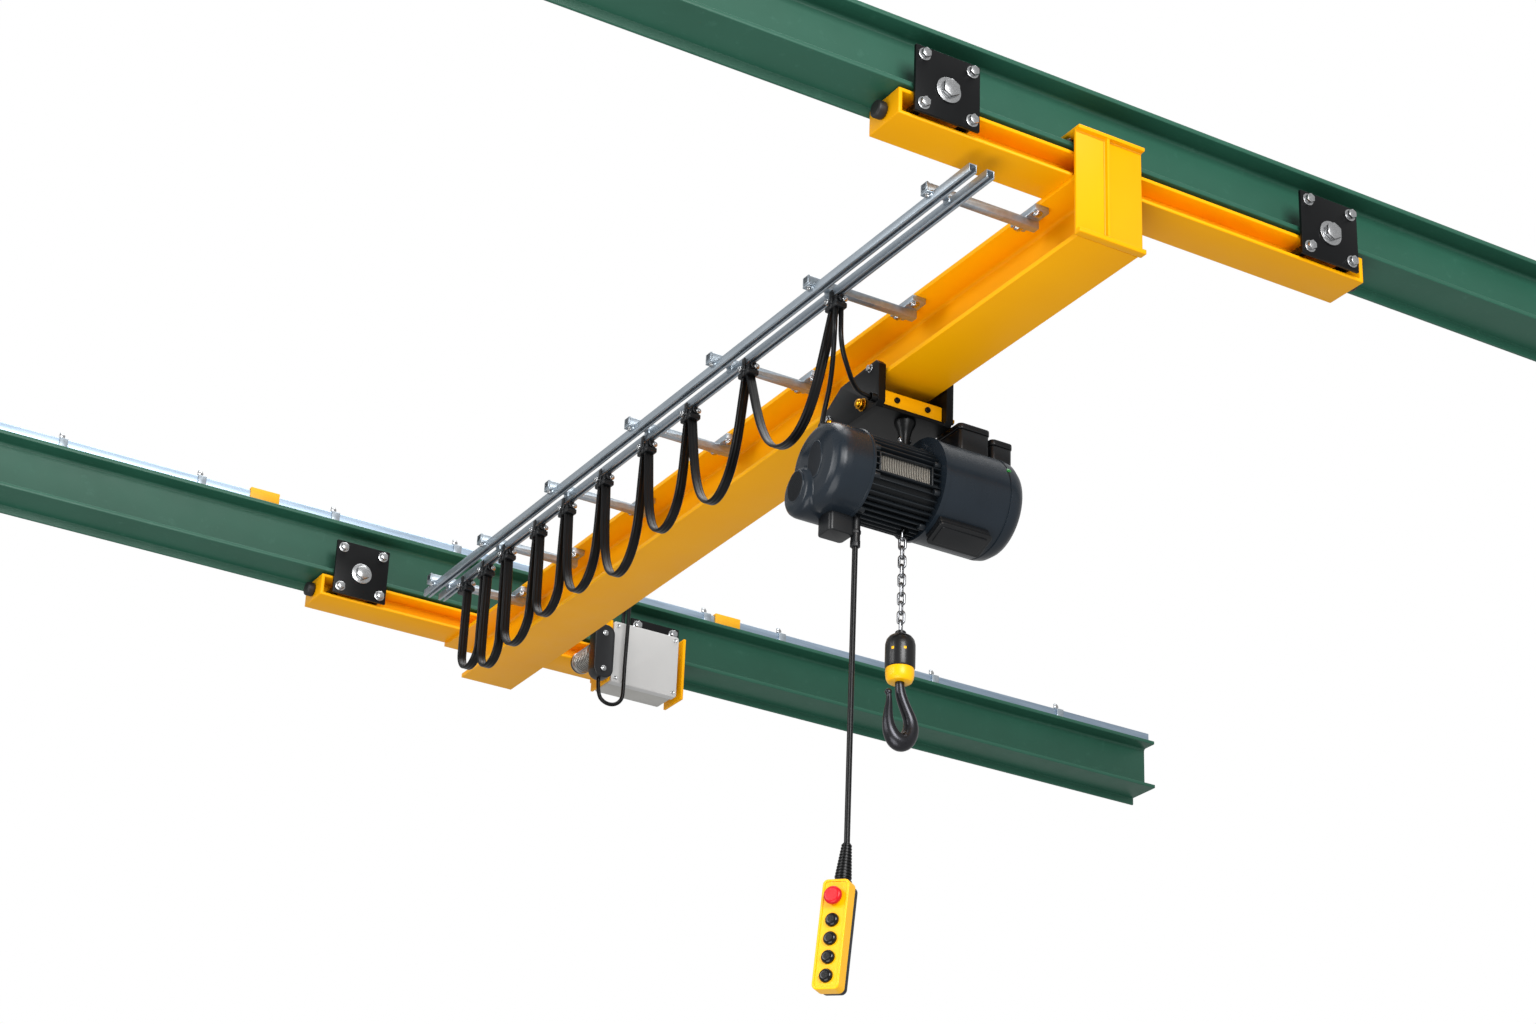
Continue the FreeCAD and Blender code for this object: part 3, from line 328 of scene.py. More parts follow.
def perforated(name, metal, hole, pitch):
    # Punched sheet: round holes on a square pitch, painted near-black as the shade seen through them.
    material, tree, shader, place = newMaterial(name)
    cells = addNode(tree, "TexVoronoi", {"Vector": place, "Scale": 1000 / pitch, "Randomness": 0.0})
    holes = addNode(tree, "MapRange", {"Value": cells.outputs["Distance"], "From Min": 0.36, "From Max": 0.44})
    tree.links.new(blend(tree, holes.outputs["Result"], fromHex(hole), fromHex(metal)), shader.inputs["Base Color"])
    shader.inputs["Roughness"].default_value = 0.6
    shader.inputs["Specular IOR Level"].default_value = 0.12
    emboss(tree, shader, holes.outputs["Result"], 0.6, 0.001)
    return material


finishes = {
    "runwayEnamel": enamel("runwayEnamel", "#285c4a", "#21503f", 0.42, dust="#4a7a69", shine=0.35),
    "craneEnamel": enamel("craneEnamel", "#f8b000", "#f2a600", 0.4, shine=0.12),
    "plateEnamel": enamel("plateEnamel", "#090a0c", "#050607", 0.34, cloudSize=60, shine=0.18),
    "zincBolt": bareMetal("zincBolt", "#d9dadb", "#8f9193", 0.24),
    "turnedSteel": bareMetal("turnedSteel", "#b9bbbd", "#6d6f72", 0.32),
    "galvanised": bareMetal("galvanised", "#b9c3cb", "#8d98a2", 0.36, grain=(0.3, 0.02, 0.3), spangle=0.12,
                            metal=0.8),
    "drawnConductor": bareMetal("drawnConductor", "#b9cadb", "#8fa4b8", 0.42, grain=(0.02, 0.3, 0.3)),
    "weldBead": enamel("weldBead", "#f2aa0a", "#d99504", 0.42, cloudSize=12, peelSize=3, peel=0.9),
    "goldZinc": bareMetal("goldZinc", "#f2b227", "#a5650c", 0.26),
    "coverPlastic": moulded("coverPlastic", "#fbb606", "#f0a800", 0.42),
    "bufferRubber": moulded("bufferRubber", "#161616", "#0c0c0c", 0.5),
    "hoistEnamel": enamel("hoistEnamel", "#1d252d", "#161d24", 0.26, cloudSize=90, peelSize=2.5, peel=0.08,
                          shine=0.28),
    "finEnamel": enamel("finEnamel", "#1a1f24", "#0f1316", 0.4, cloudSize=40, peelSize=2, peel=0.1, shine=0.3),
    "boxPlastic": moulded("boxPlastic", "#121417", "#0a0b0d", 0.34, shine=0.35),
    # the grille's near-black hole colour is painted shade inside the holes
    "grilleSheet": perforated("grilleSheet", "#1f2226", "#010101", 4.2),
    # the rope's light colour is a painted highlight on the crowns, its dark colour painted shade between turns
    "wireRope": woundWire("wireRope", "#aaa59c", "#14120f", 0.0048),
    "cableJacket": moulded("cableJacket", "#0b0c0d", "#060607", 0.32, grainSize=2.0, shine=0.22),
    "forgedSteel": bareMetal("forgedSteel", "#4a4a4e", "#29292c", 0.3, grainSize=2),
    "chainChrome": bareMetal("chainChrome", "#a3a4a7", "#5f6164", 0.18),
    "blockPlastic": moulded("blockPlastic", "#111112", "#070708", 0.28, shine=0.4),
    "pendantYellow": moulded("pendantYellow", "#ffc000", "#f8b400", 0.3, grain=0.03, shine=0.3),
    "pendantRubber": moulded("pendantRubber", "#141b27", "#0b0f17", 0.42, shine=0.35),
    "stopRed": moulded("stopRed", "#d80f20", "#bd0a18", 0.26, grain=0.02, shine=0.35),
    "buttonBlack": moulded("buttonBlack", "#08080a", "#030304", 0.12, grain=0.0, shine=0.4),
    "coverGrey": enamel("coverGrey", "#c7c7c6", "#bdbdbc", 0.4, cloudSize=120),
    "boxGrey": moulded("boxGrey", "#b9b8b4", "#aaa9a4", 0.42),
    "gearboxEnamel": enamel("gearboxEnamel", "#1a1c1f", "#101113", 0.32, cloudSize=40, shine=0.4),
    "castAluminium": bareMetal("castAluminium", "#c3c2bf", "#77756f", 0.3, grainSize=5),
    "lampGreen": moulded("lampGreen", "#12822a", "#0c641d", 0.3),
}
print("finishes mixed:", len(finishes))


loops = {
    "carriers": [0.601, 1.009, 1.299, 1.528, 1.763, 1.977, 2.147, 2.341, 2.474, 2.604],
    "spread": 0.011,       # each end hangs half a cable pitch inside its carrier
    "x": -0.400,
    "top": -0.357,
    "width": 0.028,
    "thick": 0.009,
    "routes": [
        [(0, 0), (22, -58), (45, -118), (72, -180), (110, -236), (162, -268), (221, -268), (276, -236), (316, -180),
         (344, -118), (366, -58), (386, 0)],
        [(0, 0), (12, -62), (24, -128), (42, -192), (70, -246), (112, -280), (158, -280), (200, -246), (228, -192),
         (246, -128), (258, -62), (268, 0)],
        [(0, 0), (7, -60), (13, -122), (23, -182), (46, -230), (83, -258), (125, -258), (161, -230), (183, -182),
         (194, -122), (201, -60), (207, 0)],
        [(0, 0), (6, -66), (11, -136), (20, -204), (45, -262), (85, -294), (130, -294), (168, -262), (193, -204),
         (203, -136), (208, -66), (213, 0)],
        [(0, 0), (5, -60), (9, -124), (17, -186), (40, -232), (76, -258), (117, -258), (152, -232), (175, -186),
         (184, -124), (188, -60), (192, 0)],
        [(0, 0), (3, -56), (5, -112), (6, -166), (10, -220), (47, -258), (101, -258), (138, -220), (142, -166),
         (143, -112), (145, -56), (148, 0)],
        [(0, 0), (4, -60), (7, -120), (9, -180), (12, -237), (55, -280), (117, -280), (160, -237), (163, -180),
         (165, -120), (168, -60), (172, 0)],
        [(0, 0), (-1, -64), (-1.5, -130), (-0.5, -194), (0, -256), (32, -290), (80, -290), (112, -256),
         (112.5, -194), (112.5, -130), (112, -64), (111, 0)],
        [(0, 0), (-1, -54), (-1.5, -110), (-0.5, -165), (-1, -217), (30.5, -250), (78.5, -250), (110, -217),
         (110, -165), (109.5, -110), (109, -54), (108, 0)],
    ],
}
leads = {
    "trolleyCable": [(-392.05, 589.9, -357.85), (-394, 586, -392), (-392, 588, -428), (-378, 600, -460),
                     (-350, 622, -484), (-322, 648, -497), (-293, 674, -501), (-264, 697, -496), (-232.4, 711, -487)],
    "hoistCable": [(-408.05, 589.9, -357.9), (-410, 586, -390), (-407, 592, -424), (-396, 612, -452),
                   (-381, 640, -474), (-366, 670, -494), (-354, 698, -515), (-346, 722, -533.5), (-342, 738, -554.5),
                   (-341, 746.5, -576.85)],
    "driveCable": [(300, 2975, -153.95), (300, 2975, -114), (292, 2949, -86), (280, 2911, -86), (272, 2885, -114),
                   (271, 2884, -190), (269, 2886, -320), (271, 2890, -392), (272, 2894, -428), (248, 2896, -452),
                   (214, 2898, -452), (190, 2900, -428), (190, 2900, -376.05)],
    "pendantCable": [(-240, 745, -876), (-240, 745, -1100), (-240, 745, -1350), (-240, 745, -1611.4)],
}


def splineOf(name, points, thickness=0.0):
    curve = bpy.data.curves.new(name, "CURVE")
    curve.dimensions = "3D"
    curve.resolution_u = 10
    spline = curve.splines.new("NURBS")
    spline.points.add(len(points) - 1)
    for point, place in zip(spline.points, points):
        point.co = (*place, 1)
    spline.order_u = 3
    spline.use_endpoint_u = True
    curve.bevel_depth = thickness / 2
    curve.bevel_resolution = 5
    curve.use_fill_caps = True
    line = bpy.data.objects.new(name, curve)
    bpy.context.scene.collection.objects.link(line)
    return line


def lineOf(points):
    line = splineOf("guide", points)
    bpy.context.view_layer.update()
    mesh = bpy.data.meshes.new_from_object(line)
    path = [vertex.co.copy() for vertex in mesh.vertices]
    bpy.data.objects.remove(line)
    return path


def lengthOf(path):
    return sum((b - a).length for a, b in zip(path, path[1:]))


def flatCable(name, path, width, thick):
    # Three cores side by side under one jacket, so each face has two shallow grooves.
    outline = []
    for side in (1, -1):
        for step in range(13):
            across = side * (1 - step / 6)
            ridge = 0.72 + 0.28 * abs(math.cos(math.pi * 1.5 * across))
            edge = math.sqrt(max(0.0, 1 - abs(across) ** 6))
            outline.append((across * width / 2, side * thick / 2 * ridge * edge))
    outline = [point for i, point in enumerate(outline) if i not in (12, 25)]
    vertices = []
    for i, place in enumerate(path):
        ahead = (path[min(i + 1, len(path) - 1)] - path[max(i - 1, 0)]).normalized()
        sideways = Vector((1, 0, 0))
        out = sideways.cross(ahead).normalized()
        vertices += [place + sideways * a + out * b for a, b in outline]
    count = len(outline)
    faces = [[i * count + k, i * count + (k + 1) % count, (i + 1) * count + (k + 1) % count, (i + 1) * count + k]
             for i in range(len(path) - 1) for k in range(count)]
    faces += [list(range(count))[::-1], list(range(len(vertices) - count, len(vertices)))]
    mesh = bpy.data.meshes.new(name)
    mesh.from_pydata([tuple(vertex) for vertex in vertices], [], faces)
    cable = bpy.data.objects.new(name, mesh)
    bpy.context.scene.collection.objects.link(cable)
    editAll(cable)
    bpy.ops.mesh.normals_make_consistent(inside=False)
    leaveEdit()
    return cable


def makeLoops():
    for number, route in enumerate(loops["routes"], start=1):
        start = loops["carriers"][number - 1] + loops["spread"]
        points = [(loops["x"], start + y / 1000, loops["top"] + z / 1000) for y, z in route]
        path = lineOf(points)
        cable = flatCable(f"festoonCable{number}", path, loops["width"], loops["thick"])
        done(cable, cable.name, f"festoon_{number}", finishes["cableJacket"],
             [f"festoon_loop_{number}"], smooth=50)


def makeLeads():
    owners = {"trolleyCable": ("trolley", "trolley_cable", 0.012), "hoistCable": ("trolley", "hoist_cable", 0.012),
              "driveCable": ("bridge", "drive_cable", 0.012), "pendantCable": ("trolley", "pendant_cable", 0.014)}
    for name, points in leads.items():
        body, node, diameter = owners[name]
        route = [tuple(part / 1000 for part in point) for point in points]
        cable = splineOf(name, route, diameter)
        cable.data.materials.append(finishes["cableJacket"])
        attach(cable, body)
        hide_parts(node)
        lengthOf(lineOf(route))


def addBolt(across, height, flange, thick):
    head = softEdges(addRod((0, 0, thick), (0, 0, thick + height), across / 2 / math.cos(math.pi / 6), 6),
                     across * 0.07)
    collar = softEdges(addRod((0, 0, 0), (0, 0, thick), flange / 2, 32), thick * 0.3)
    return joined([head, collar])


def addDome(radius, height):
    # A round head: a short wall under a low crown.
    steps = [(radius * math.cos(angle), height * (0.35 + 0.65 * math.sin(angle)))
             for angle in [math.pi / 2 * step / 6 for step in range(7)]]
    return turnProfile([(0, 0), (radius, 0)] + steps[:-1] + [(0, height)], 32)


def aimed(pattern, places, direction):
    turn = Vector(direction).to_track_quat("Z", "Y").to_euler()
    copies = []
    for place in places:
        copy = twin(pattern)
        copy.rotation_euler = turn
        copy.location = place
        copies.append(settle(copy))
    return copies


def drop(*patterns):
    for pattern in patterns:
        bpy.data.objects.remove(pattern)


def cornerRound(piece, axis, width, segments=6):
    # Rounds only the edges that run along one axis.
    def runsAlong(edge):
        a, b = (piece.data.vertices[i].co for i in edge.vertices)
        return abs((b - a).normalized().dot(Vector(axis))) > aligned

    editSome(piece, "EDGE", piece.data.edges, runsAlong)
    bpy.ops.mesh.bevel(offset=width, segments=segments, affect="EDGES")
    leaveEdit()
    return piece


def addCase(low, high, corner, width, segments=2, axis=(0, 0, 1)):
    # A moulded box: round corners along one axis, then softened edges.
    return softEdges(cornerRound(addBlock(low, high), axis, corner), width, segments)


def cutBy(piece, tool, operation="DIFFERENCE"):
    useModifier(piece, "BOOLEAN", object=tool, operation=operation, solver="EXACT")
    drop(tool)
    return piece


def addRing(radius, wire, place, turn=(0, 0, 0)):
    bpy.ops.object.select_all(action="DESELECT")
    bpy.ops.mesh.primitive_torus_add(major_radius=radius, minor_radius=wire, major_segments=40, minor_segments=14)
    return lay(bpy.context.object, place, turn)


wheels = {
    "places": [(-0.541, 0.0), (0.541, 0.0), (-0.541, 3.145), (0.460, 3.145)],
    "face": 0.080,
    "middle": -0.155,
    "boltPitch": 0.0635,
    "axleDrop": 0.008,
    "nearBolt": (0.0215, 0.011, 0.031, 0.003),
    "backBolt": (0.0185, 0.005, 0.024, 0.002),
    "axleBolt": (0.040, 0.0145, 0.064, 0.005),
}


def makeWheels():
    softened("wheel_plates", "wheelPlates", finishes["plateEnamel"], 0.0022, 3)
    softened("track_wheels", "trackWheels", finishes["turnedSteel"], 0.002)
    small = addBolt(*wheels["nearBolt"])
    low = addBolt(*wheels["backBolt"])
    large = addBolt(*wheels["axleBolt"])
    bolts = []
    for x, y in wheels["places"]:
        # the far runway's outer plates are the crane's outermost faces, so they stay plain
        for side in (-1,) if y > 1 else (-1, 1):
            face = y + side * wheels["face"]
            corners = [(x + a * wheels["boltPitch"], face, wheels["middle"] + b * wheels["boltPitch"])
                       for a in (-1, 1) for b in (-1, 1)]
            bolts += aimed(low if side > 0 else small, corners, (0, side, 0))
            bolts += aimed(large, [(x, face, wheels["middle"] - wheels["axleDrop"])], (0, side, 0))
    drop(small, low, large)
    done(joined(bolts), "wheelBolts", "bridge", finishes["zincBolt"])
    print("wheels done")


runways = {
    "clips": [-1.480, -1.053, -0.624, -0.217, 0.240, 0.670, 0.951, 1.547, 2.057],
    "screwFace": 3.136,
    "screwHeight": 0.054,
    "screw": (0.009, 0.006),
}


def makeRunways():
    for node, name in (("near_runway_beam", "nearRunway"), ("far_runway_beam", "farRunway")):
        softened(node, name, finishes["runwayEnamel"], 0.002, 2)
    softened("power_rail", "conductorRail", finishes["drawnConductor"], 0.003, 2)
    softened("power_rail_clips", "railClips", finishes["galvanised"], 0.0015)
    softened("rail_joint_covers", "jointCovers", finishes["coverPlastic"], 0.002, 3)
    head = addDome(*runways["screw"])
    places = [(x, runways["screwFace"], runways["screwHeight"]) for x in runways["clips"]]
    heads = aimed(head, places, (0, -1, 0))
    drop(head)
    done(joined(heads), "clipScrews", "runways", finishes["zincBolt"])
    print("runways done")


bridge = {
    "painted": [("near_end_carriage", "nearCarriage", 0.002), ("far_end_carriage", "farCarriage", 0.002),
                ("main_girder", "girder", 0.0025), ("girder_head", "girderHead", 0.002)],
    "bead": 0.0022,
    "ribSides": (-0.121, -0.111),
    "ribSpan": (-0.400, -0.146),
    "ribFace": -0.0862,
    "plateEnds": (-0.4015, -0.1450),
    "plateSpan": (-0.198, -0.018),
    "plateFace": -0.0868,
    "stud": (-0.184, -0.040, -0.144),
}


def makeBridge():
    for node, name, width in bridge["painted"]:
        softened(node, name, finishes["craneEnamel"], width)
    softened("buffers", "bumpers", finishes["bufferRubber"], 0.006, 4)
    face, (low, high) = bridge["ribFace"], bridge["ribSpan"]
    beads = [addRod((x, face, low), (x, face, high), bridge["bead"], 10) for x in bridge["ribSides"]]
    face, (left, right) = bridge["plateFace"], bridge["plateSpan"]
    beads += [addRod((left, face, z), (right, face, z), bridge["bead"], 10) for z in bridge["plateEnds"]]
    done(joined(beads), "headWelds", "bridge", finishes["weldBead"], smooth=60)
    nut = addBolt(0.015, 0.007, 0.022, 0.002)
    stud = joined([nut, softEdges(addRod((0, 0, 0), (0, 0, 0.018), 0.004, 16), 0.0006)])
    done(lay(stud, bridge["stud"], (180, 0, 0)), "headBolt", "bridge", finishes["zincBolt"])
    print("bridge done")


festoon = {
    "arms": [0.115, 0.622, 1.085, 1.510, 1.965, 2.380, 2.709],
    "rails": [-0.400, -0.447],
    "armLow": -0.298,
    "clampLow": -0.277,
    "outer": -0.474,
    "clampBolts": (-0.190, 0.037),
}


def makeFestoonRails():
    softened("festoon_rails", "cableRails", finishes["galvanised"], 0.0012)
    softened("festoon_arms", "railArms", finishes["galvanised"], 0.0015)
    low = festoon["armLow"]
    clip = joined([
        softEdges(addBlock((-0.0145, -0.012, low - 0.012), (0.0145, 0.012, low + 0.004)), 0.002),
        softEdges(addBlock((-0.008, -0.020, low - 0.004), (0.008, 0.020, low + 0.002)), 0.0015),
    ])
    clips = [twin(clip, (x, y, 0)) for y in festoon["arms"] for x in festoon["rails"]]
    shoe = joined([
        softEdges(addBlock((-0.002, -0.015, low - 0.006), (0.016, 0.015, low)), 0.0015),
        softEdges(addBlock((-0.003, -0.013, low), (0.002, 0.013, festoon["clampLow"])), 0.0012),
    ])
    clips += [twin(shoe, (festoon["outer"] + 0.003, y, 0)) for y in festoon["arms"]]
    drop(clip, shoe)
    done(joined(clips), "railClamps", "bridge", finishes["galvanised"])
    head = joined([addDome(0.0095, 0.008), softEdges(addRod((0, 0, -0.002), (0, 0, 0.001), 0.013, 24), 0.0006)])
    small = addBolt(0.010, 0.005, 0.014, 0.0015)
    bolts = []
    under = festoon["clampLow"] - 0.002
    x, apart = festoon["clampBolts"]
    for y in festoon["arms"]:
        bolts += aimed(head, [(x, y - apart, under), (x, y + apart, under)], (0, 0, -1))
        bolts += aimed(small, [(festoon["outer"] + 0.010, y, low - 0.006)], (0, 0, -1))
        bolts += aimed(small, [(rail, y - 0.012, low - 0.007) for rail in festoon["rails"]], (0, -1, 0))
    drop(head, small)
    done(joined(bolts), "clampBolts", "bridge", finishes["zincBolt"])
    print("festoon rails done")


def makeCarriers():
    x, low = loops["x"], loops["top"]
    saddle = joined([
        softEdges(addBlock((x - 0.0165, -0.026, low + 0.001), (x + 0.0165, 0.026, low + 0.016)), 0.004, 4),
        softEdges(addBlock((x - 0.0125, -0.020, low + 0.012), (x + 0.0125, 0.020, low + 0.032)), 0.003, 3),
        softEdges(addBlock((x - 0.0165, -0.007, low + 0.014), (x - 0.0125, 0.007, low + 0.050)), 0.0015),
        softEdges(addBlock((x + 0.0125, -0.007, low + 0.014), (x + 0.0165, 0.007, low + 0.050)), 0.0015),
        addRing(0.0075, 0.003, (x - 0.0165, 0.0, low + 0.009), (0, 90, 0)),
        addRing(0.0065, 0.0028, (x, -0.027, low + 0.024), (90, 0, 0)),
    ])
    grip = softEdges(addRod((0, 0, 0), (0, 0, 0.009), 0.0075, 14), 0.0014)
    knobs = joined([twin(grip)] + [softEdges(addRod((0, 0, 0.009), (0, 0, 0.013), 0.0035, 16), 0.0008)])
    pair = joined(aimed(knobs, [(x + 0.006, -0.022, low + 0.022)], (0.2, -1, 0))
                  + aimed(knobs, [(x - 0.012, 0.013, low + 0.024)], (-1, 0, 0))
                  + aimed(knobs, [(x + 0.012, 0.004, low + 0.024)], (1, 0, 0)))
    for number, y in enumerate(loops["carriers"]):
        body = f"festoon_{number}" if number else "trolley"
        node = f"festoon_carrier_{number}" if number else "tow_carrier"
        done(twin(saddle, (0, y, 0)), f"carrier{number}", body, finishes["boxPlastic"], [node])
        done(twin(pair, (0, y, 0)), f"carrierKnobs{number}", body, finishes["zincBolt"])
    drop(saddle, grip, knobs, pair)
    print("carriers done")


trolley = {
    "crossbarScrews": [(-0.152, 0.715, -0.473), (-0.064, 0.715, -0.473)],
    "leftBolts": [(-0.216, 0.735, -0.396), (-0.216, 0.925, -0.455)],
    "rightBolts": [(0.0, 0.735, -0.376), (0.0, 0.925, -0.455)],
    "leftNut": (-0.216, 0.766, -0.482),
    "rightNut": (0.0, 0.766, -0.482),
    "rightFitting": (0.0, 0.712, -0.486),
    "coverFitting": (-0.326, 0.738, -0.580),
    "hanger": (-0.108, 0.745, -0.501),
    "eye": (-0.108, 0.745, -0.554),
    "eyePin": 0.018,
}


def makeTrolley():
    softened("trolley_frame", "trolleyPlates", finishes["plateEnamel"], 0.004, 4)
    softened("trolley_wheels", "trolleyWheels", finishes["turnedSteel"], 0.002)
    softened("trolley_crossbar", "crossbar", finishes["craneEnamel"], 0.003, 3)
    socket = softEdges(addRod((0, 0, 0), (0, 0, 0.006), 0.0075, 24), 0.0012)
    socket = insetStep(socket, facing((0, 0, 1)), 0.0028, -0.003)
    screws = aimed(socket, trolley["crossbarScrews"], (0, -1, 0))
    drop(socket)
    done(joined(screws), "crossbarScrews", "trolley", finishes["plateEnamel"])
    small = addBolt(0.015, 0.007, 0.021, 0.002)
    bolts = aimed(small, trolley["leftBolts"], (-1, 0, 0)) + aimed(small, trolley["rightBolts"], (1, 0, 0))
    drop(small)
    done(joined(bolts), "trolleyBolts", "trolley", finishes["zincBolt"])
    nut = joined([addBolt(0.027, 0.010, 0.034, 0.003), lay(addDome(0.0115, 0.009), (0, 0, 0.012))])
    fitting = addBolt(0.014, 0.008, 0.014, 0.002)
    gold = aimed(nut, [trolley["leftNut"]], (-1, 0, 0)) + aimed(nut, [trolley["rightNut"]], (1, 0, 0))
    gold += aimed(fitting, [trolley["rightFitting"]], (1, 0, 0))
    gold += aimed(fitting, [trolley["coverFitting"]], (0, 0, 1))
    drop(nut, fitting)
    done(joined(gold), "goldNuts", "trolley", finishes["goldZinc"])
    gland = joined([softEdges(addRod((-0.230, 0.712, -0.486), (-0.219, 0.712, -0.486), 0.0115, 12), 0.001),
                    softEdges(addRod((-0.337, 0.7455, -0.5855), (-0.3385, 0.7455, -0.5775), 0.0095, 6), 0.001)])
    done(gland, "leadGlands", "trolley", finishes["boxPlastic"])
    cone = turnProfile([(0, -0.073), (0.012, -0.073), (0.013, -0.055), (0.018, -0.030), (0.026, -0.014),
                        (0.027, -0.003), (0.025, 0), (0, 0)], 48)
    done(lay(cone, trolley["hanger"]), "hoistHanger", "trolley", finishes["plateEnamel"],
         ["hoist_eye"])
    x, y, z = trolley["eye"]
    reach = trolley["eyePin"]
    eye = joined([addRing(0.013, 0.004, (x, y, z), (90, 0, 0)),
                  softEdges(addRod((x - reach, y, z), (x + reach, y, z), 0.005, 20), 0.001)])
    done(eye, "hoistEye", "trolley", finishes["chainChrome"])
    print("trolley done")


hoist = {
    "y": 0.745,
    "z": -0.692,
    "gearZ": -0.676,
}


def spunAlongX(profile, height, steps=96):
    # The profile's heights run along X, from an axis at the given height.
    return lay(turnProfile(profile, steps), (0, hoist["y"], height), (0, 90, 0))


def makeFanCover():
    y, z = hoist["y"], hoist["z"]
    shell = spunAlongX([(0, -0.366), (0.060, -0.366), (0.088, -0.362), (0.103, -0.352), (0.110, -0.338),
                        (0.1125, -0.320), (0.1125, -0.262), (0.111, -0.258), (0, -0.258)], z)
    lobe = turnProfile([(0, 0), (0.036, 0), (0.052, 0.004), (0.060, 0.012), (0.063, 0.024), (0.063, 0.095),
                        (0, 0.095)], 72)
    lobe = lay(lobe, (-0.381, y + 0.052, z - 0.054), (0, 90, 0))
    cover = cutBy(shell, lobe, "UNION")
    useModifier(cover, "REMESH", mode="VOXEL", voxel_size=0.0024)
    useModifier(cover, "SMOOTH", factor=0.5, iterations=14)
    done(cover, "fanCover", "trolley", finishes["hoistEnamel"], ["fan_cover"], smooth=50)
    grilles = []
    rims = []
    for x, place, stretch in ((-0.3655, (y - 0.014, z + 0.006), (1.50, 0.98, 1)),
                              (-0.3795, (y + 0.048, z - 0.045), (1.26, 1.12, 1))):
        disc = softEdges(addRod((0, 0, 0), (0, 0, 0.0025), 0.030, 48), 0.0008)
        disc.scale = stretch
        grilles.append(lay(disc, (x, *place), (0, -90, 0)))
        rim = addRing(0.0305, 0.0026, (0, 0, 0))
        rim.scale = stretch
        rims.append(lay(rim, (x, *place), (0, -90, 0)))
    done(joined(grilles), "airGrilles", "trolley", finishes["grilleSheet"])
    rims.append(spunAlongX([(0.1125, -0.264), (0.1145, -0.262), (0.1145, -0.257), (0.105, -0.256), (0.105, -0.264),
                            (0.1125, -0.264)], z))
    done(joined(rims), "grilleRims", "trolley", finishes["hoistEnamel"])
    print("fan cover done")


motor = {
    "left": -0.258,
    "right": -0.070,
    "finCount": 40,
    "finRoot": 0.093,
    "finTip": 0.109,
    "finHalf": 0.0016,
    "window": (-0.240, -0.096, 0.023),
    "chainBore": 0.015,
    "earRing": 0.106,
    "earStarts": (-0.257, -0.088),
    "ears": (200, 250, 160, 290, 110, 70),
    "screwFace": -0.072,
    "ropeStart": -0.240,
    "ropeWidth": 0.144,
    "ropeTurns": 30,
    "ropeBed": 0.088,
    "wireCentre": 0.0955,
    "wireRise": 0.0036,
}


def makeMotor():
    y, z = hoist["y"], hoist["z"]
    left, right, root, half = motor["left"], motor["right"], motor["finRoot"], motor["finHalf"]
    core = spunAlongX([(0, left), (root, left), (root, right), (0, right)], z, 80)
    fin = softEdges(addBlock((left + 0.001, -half, root - 0.004), (right - 0.001, half, motor["finTip"])), 0.0009)
    step = 360 / motor["finCount"]
    fins = [lay(twin(fin), (0, y, z), (step * (number + 0.5), 0, 0)) for number in range(motor["finCount"])]
    drop(fin)
    body = []
    start, end, reach = motor["window"]
    for part in (core, joined(fins)):
        window = addBlock((start, y - 0.200, z - reach), (end, y - 0.080, z + reach))
        bore = addRod((chain["x"], y, z - 0.130), (chain["x"], y, z + 0.090), motor["chainBore"])
        body.append(cutBy(cutBy(part, window), bore))
    lug = softEdges(addBlock((-0.131, y - 0.020, z + 0.0905), (-0.085, y + 0.020, z + 0.119)), 0.004, 3)
    frameBars = [softEdges(addBlock((a, y - 0.1075, c), (b, y - 0.092, d)), 0.0015)
                 for a, b, c, d in ((-0.244, -0.239, z - 0.026, z + 0.026), (-0.097, -0.092, z - 0.026, z + 0.026),
                                    (-0.244, -0.092, z + 0.0225, z + 0.026), (-0.244, -0.092, z - 0.026, z - 0.0225))]

    def onRing(x, turn):
        angle = math.radians(turn)
        return (x, y + motor["earRing"] * math.cos(angle), z + motor["earRing"] * math.sin(angle))

    ears = [softEdges(addRod(onRing(x, turn), onRing(x + 0.016, turn), 0.008, 20), 0.001)
            for x in motor["earStarts"] for turn in motor["ears"]]
    done(joined(body + [lug] + frameBars + ears), "motorFins", "trolley", finishes["finEnamel"],
         ["motor_fins"], smooth=30)
    dot = addDome(0.0045, 0.003)
    dots = aimed(dot, [onRing(motor["screwFace"], turn) for turn in motor["ears"][:4]], (-1, 0, 0))
    drop(dot)
    done(joined(dots), "earScrews", "trolley", finishes["zincBolt"])
    start, width, turns = motor["ropeStart"], motor["ropeWidth"], motor["ropeTurns"]
    profile = [(motor["ropeBed"], start)]
    for number in range(turns):
        foot = start + width * number / turns
        for step in (0.12, 0.3, 0.5, 0.7, 0.88):
            rise = motor["wireRise"] * math.sin(math.pi * step)
            profile.append((motor["wireCentre"] + rise, foot + width / turns * step))
    profile.append((motor["ropeBed"], start + width))
    drum = turnProfile(profile, 20, math.radians(30))
    drum = lay(lay(drum, (0, 0, 0), (0, 90, 0)), (0, y, z), (-75, 0, 0))
    done(drum, "woundRope", "trolley", finishes["wireRope"], ["rope_drum"], smooth=60)
    print("motor done")


gearEnd = {
    "lamp": (0.122, -0.1107, 0.0607),
    "lampAim": (0, -0.877, 0.481),
    "cases": [(0.015, 0.107, -0.489), (0.109, 0.174, -0.507)],
    "slantLow": -0.152,
    "slant": -24,
    "glandX": -0.240,
}


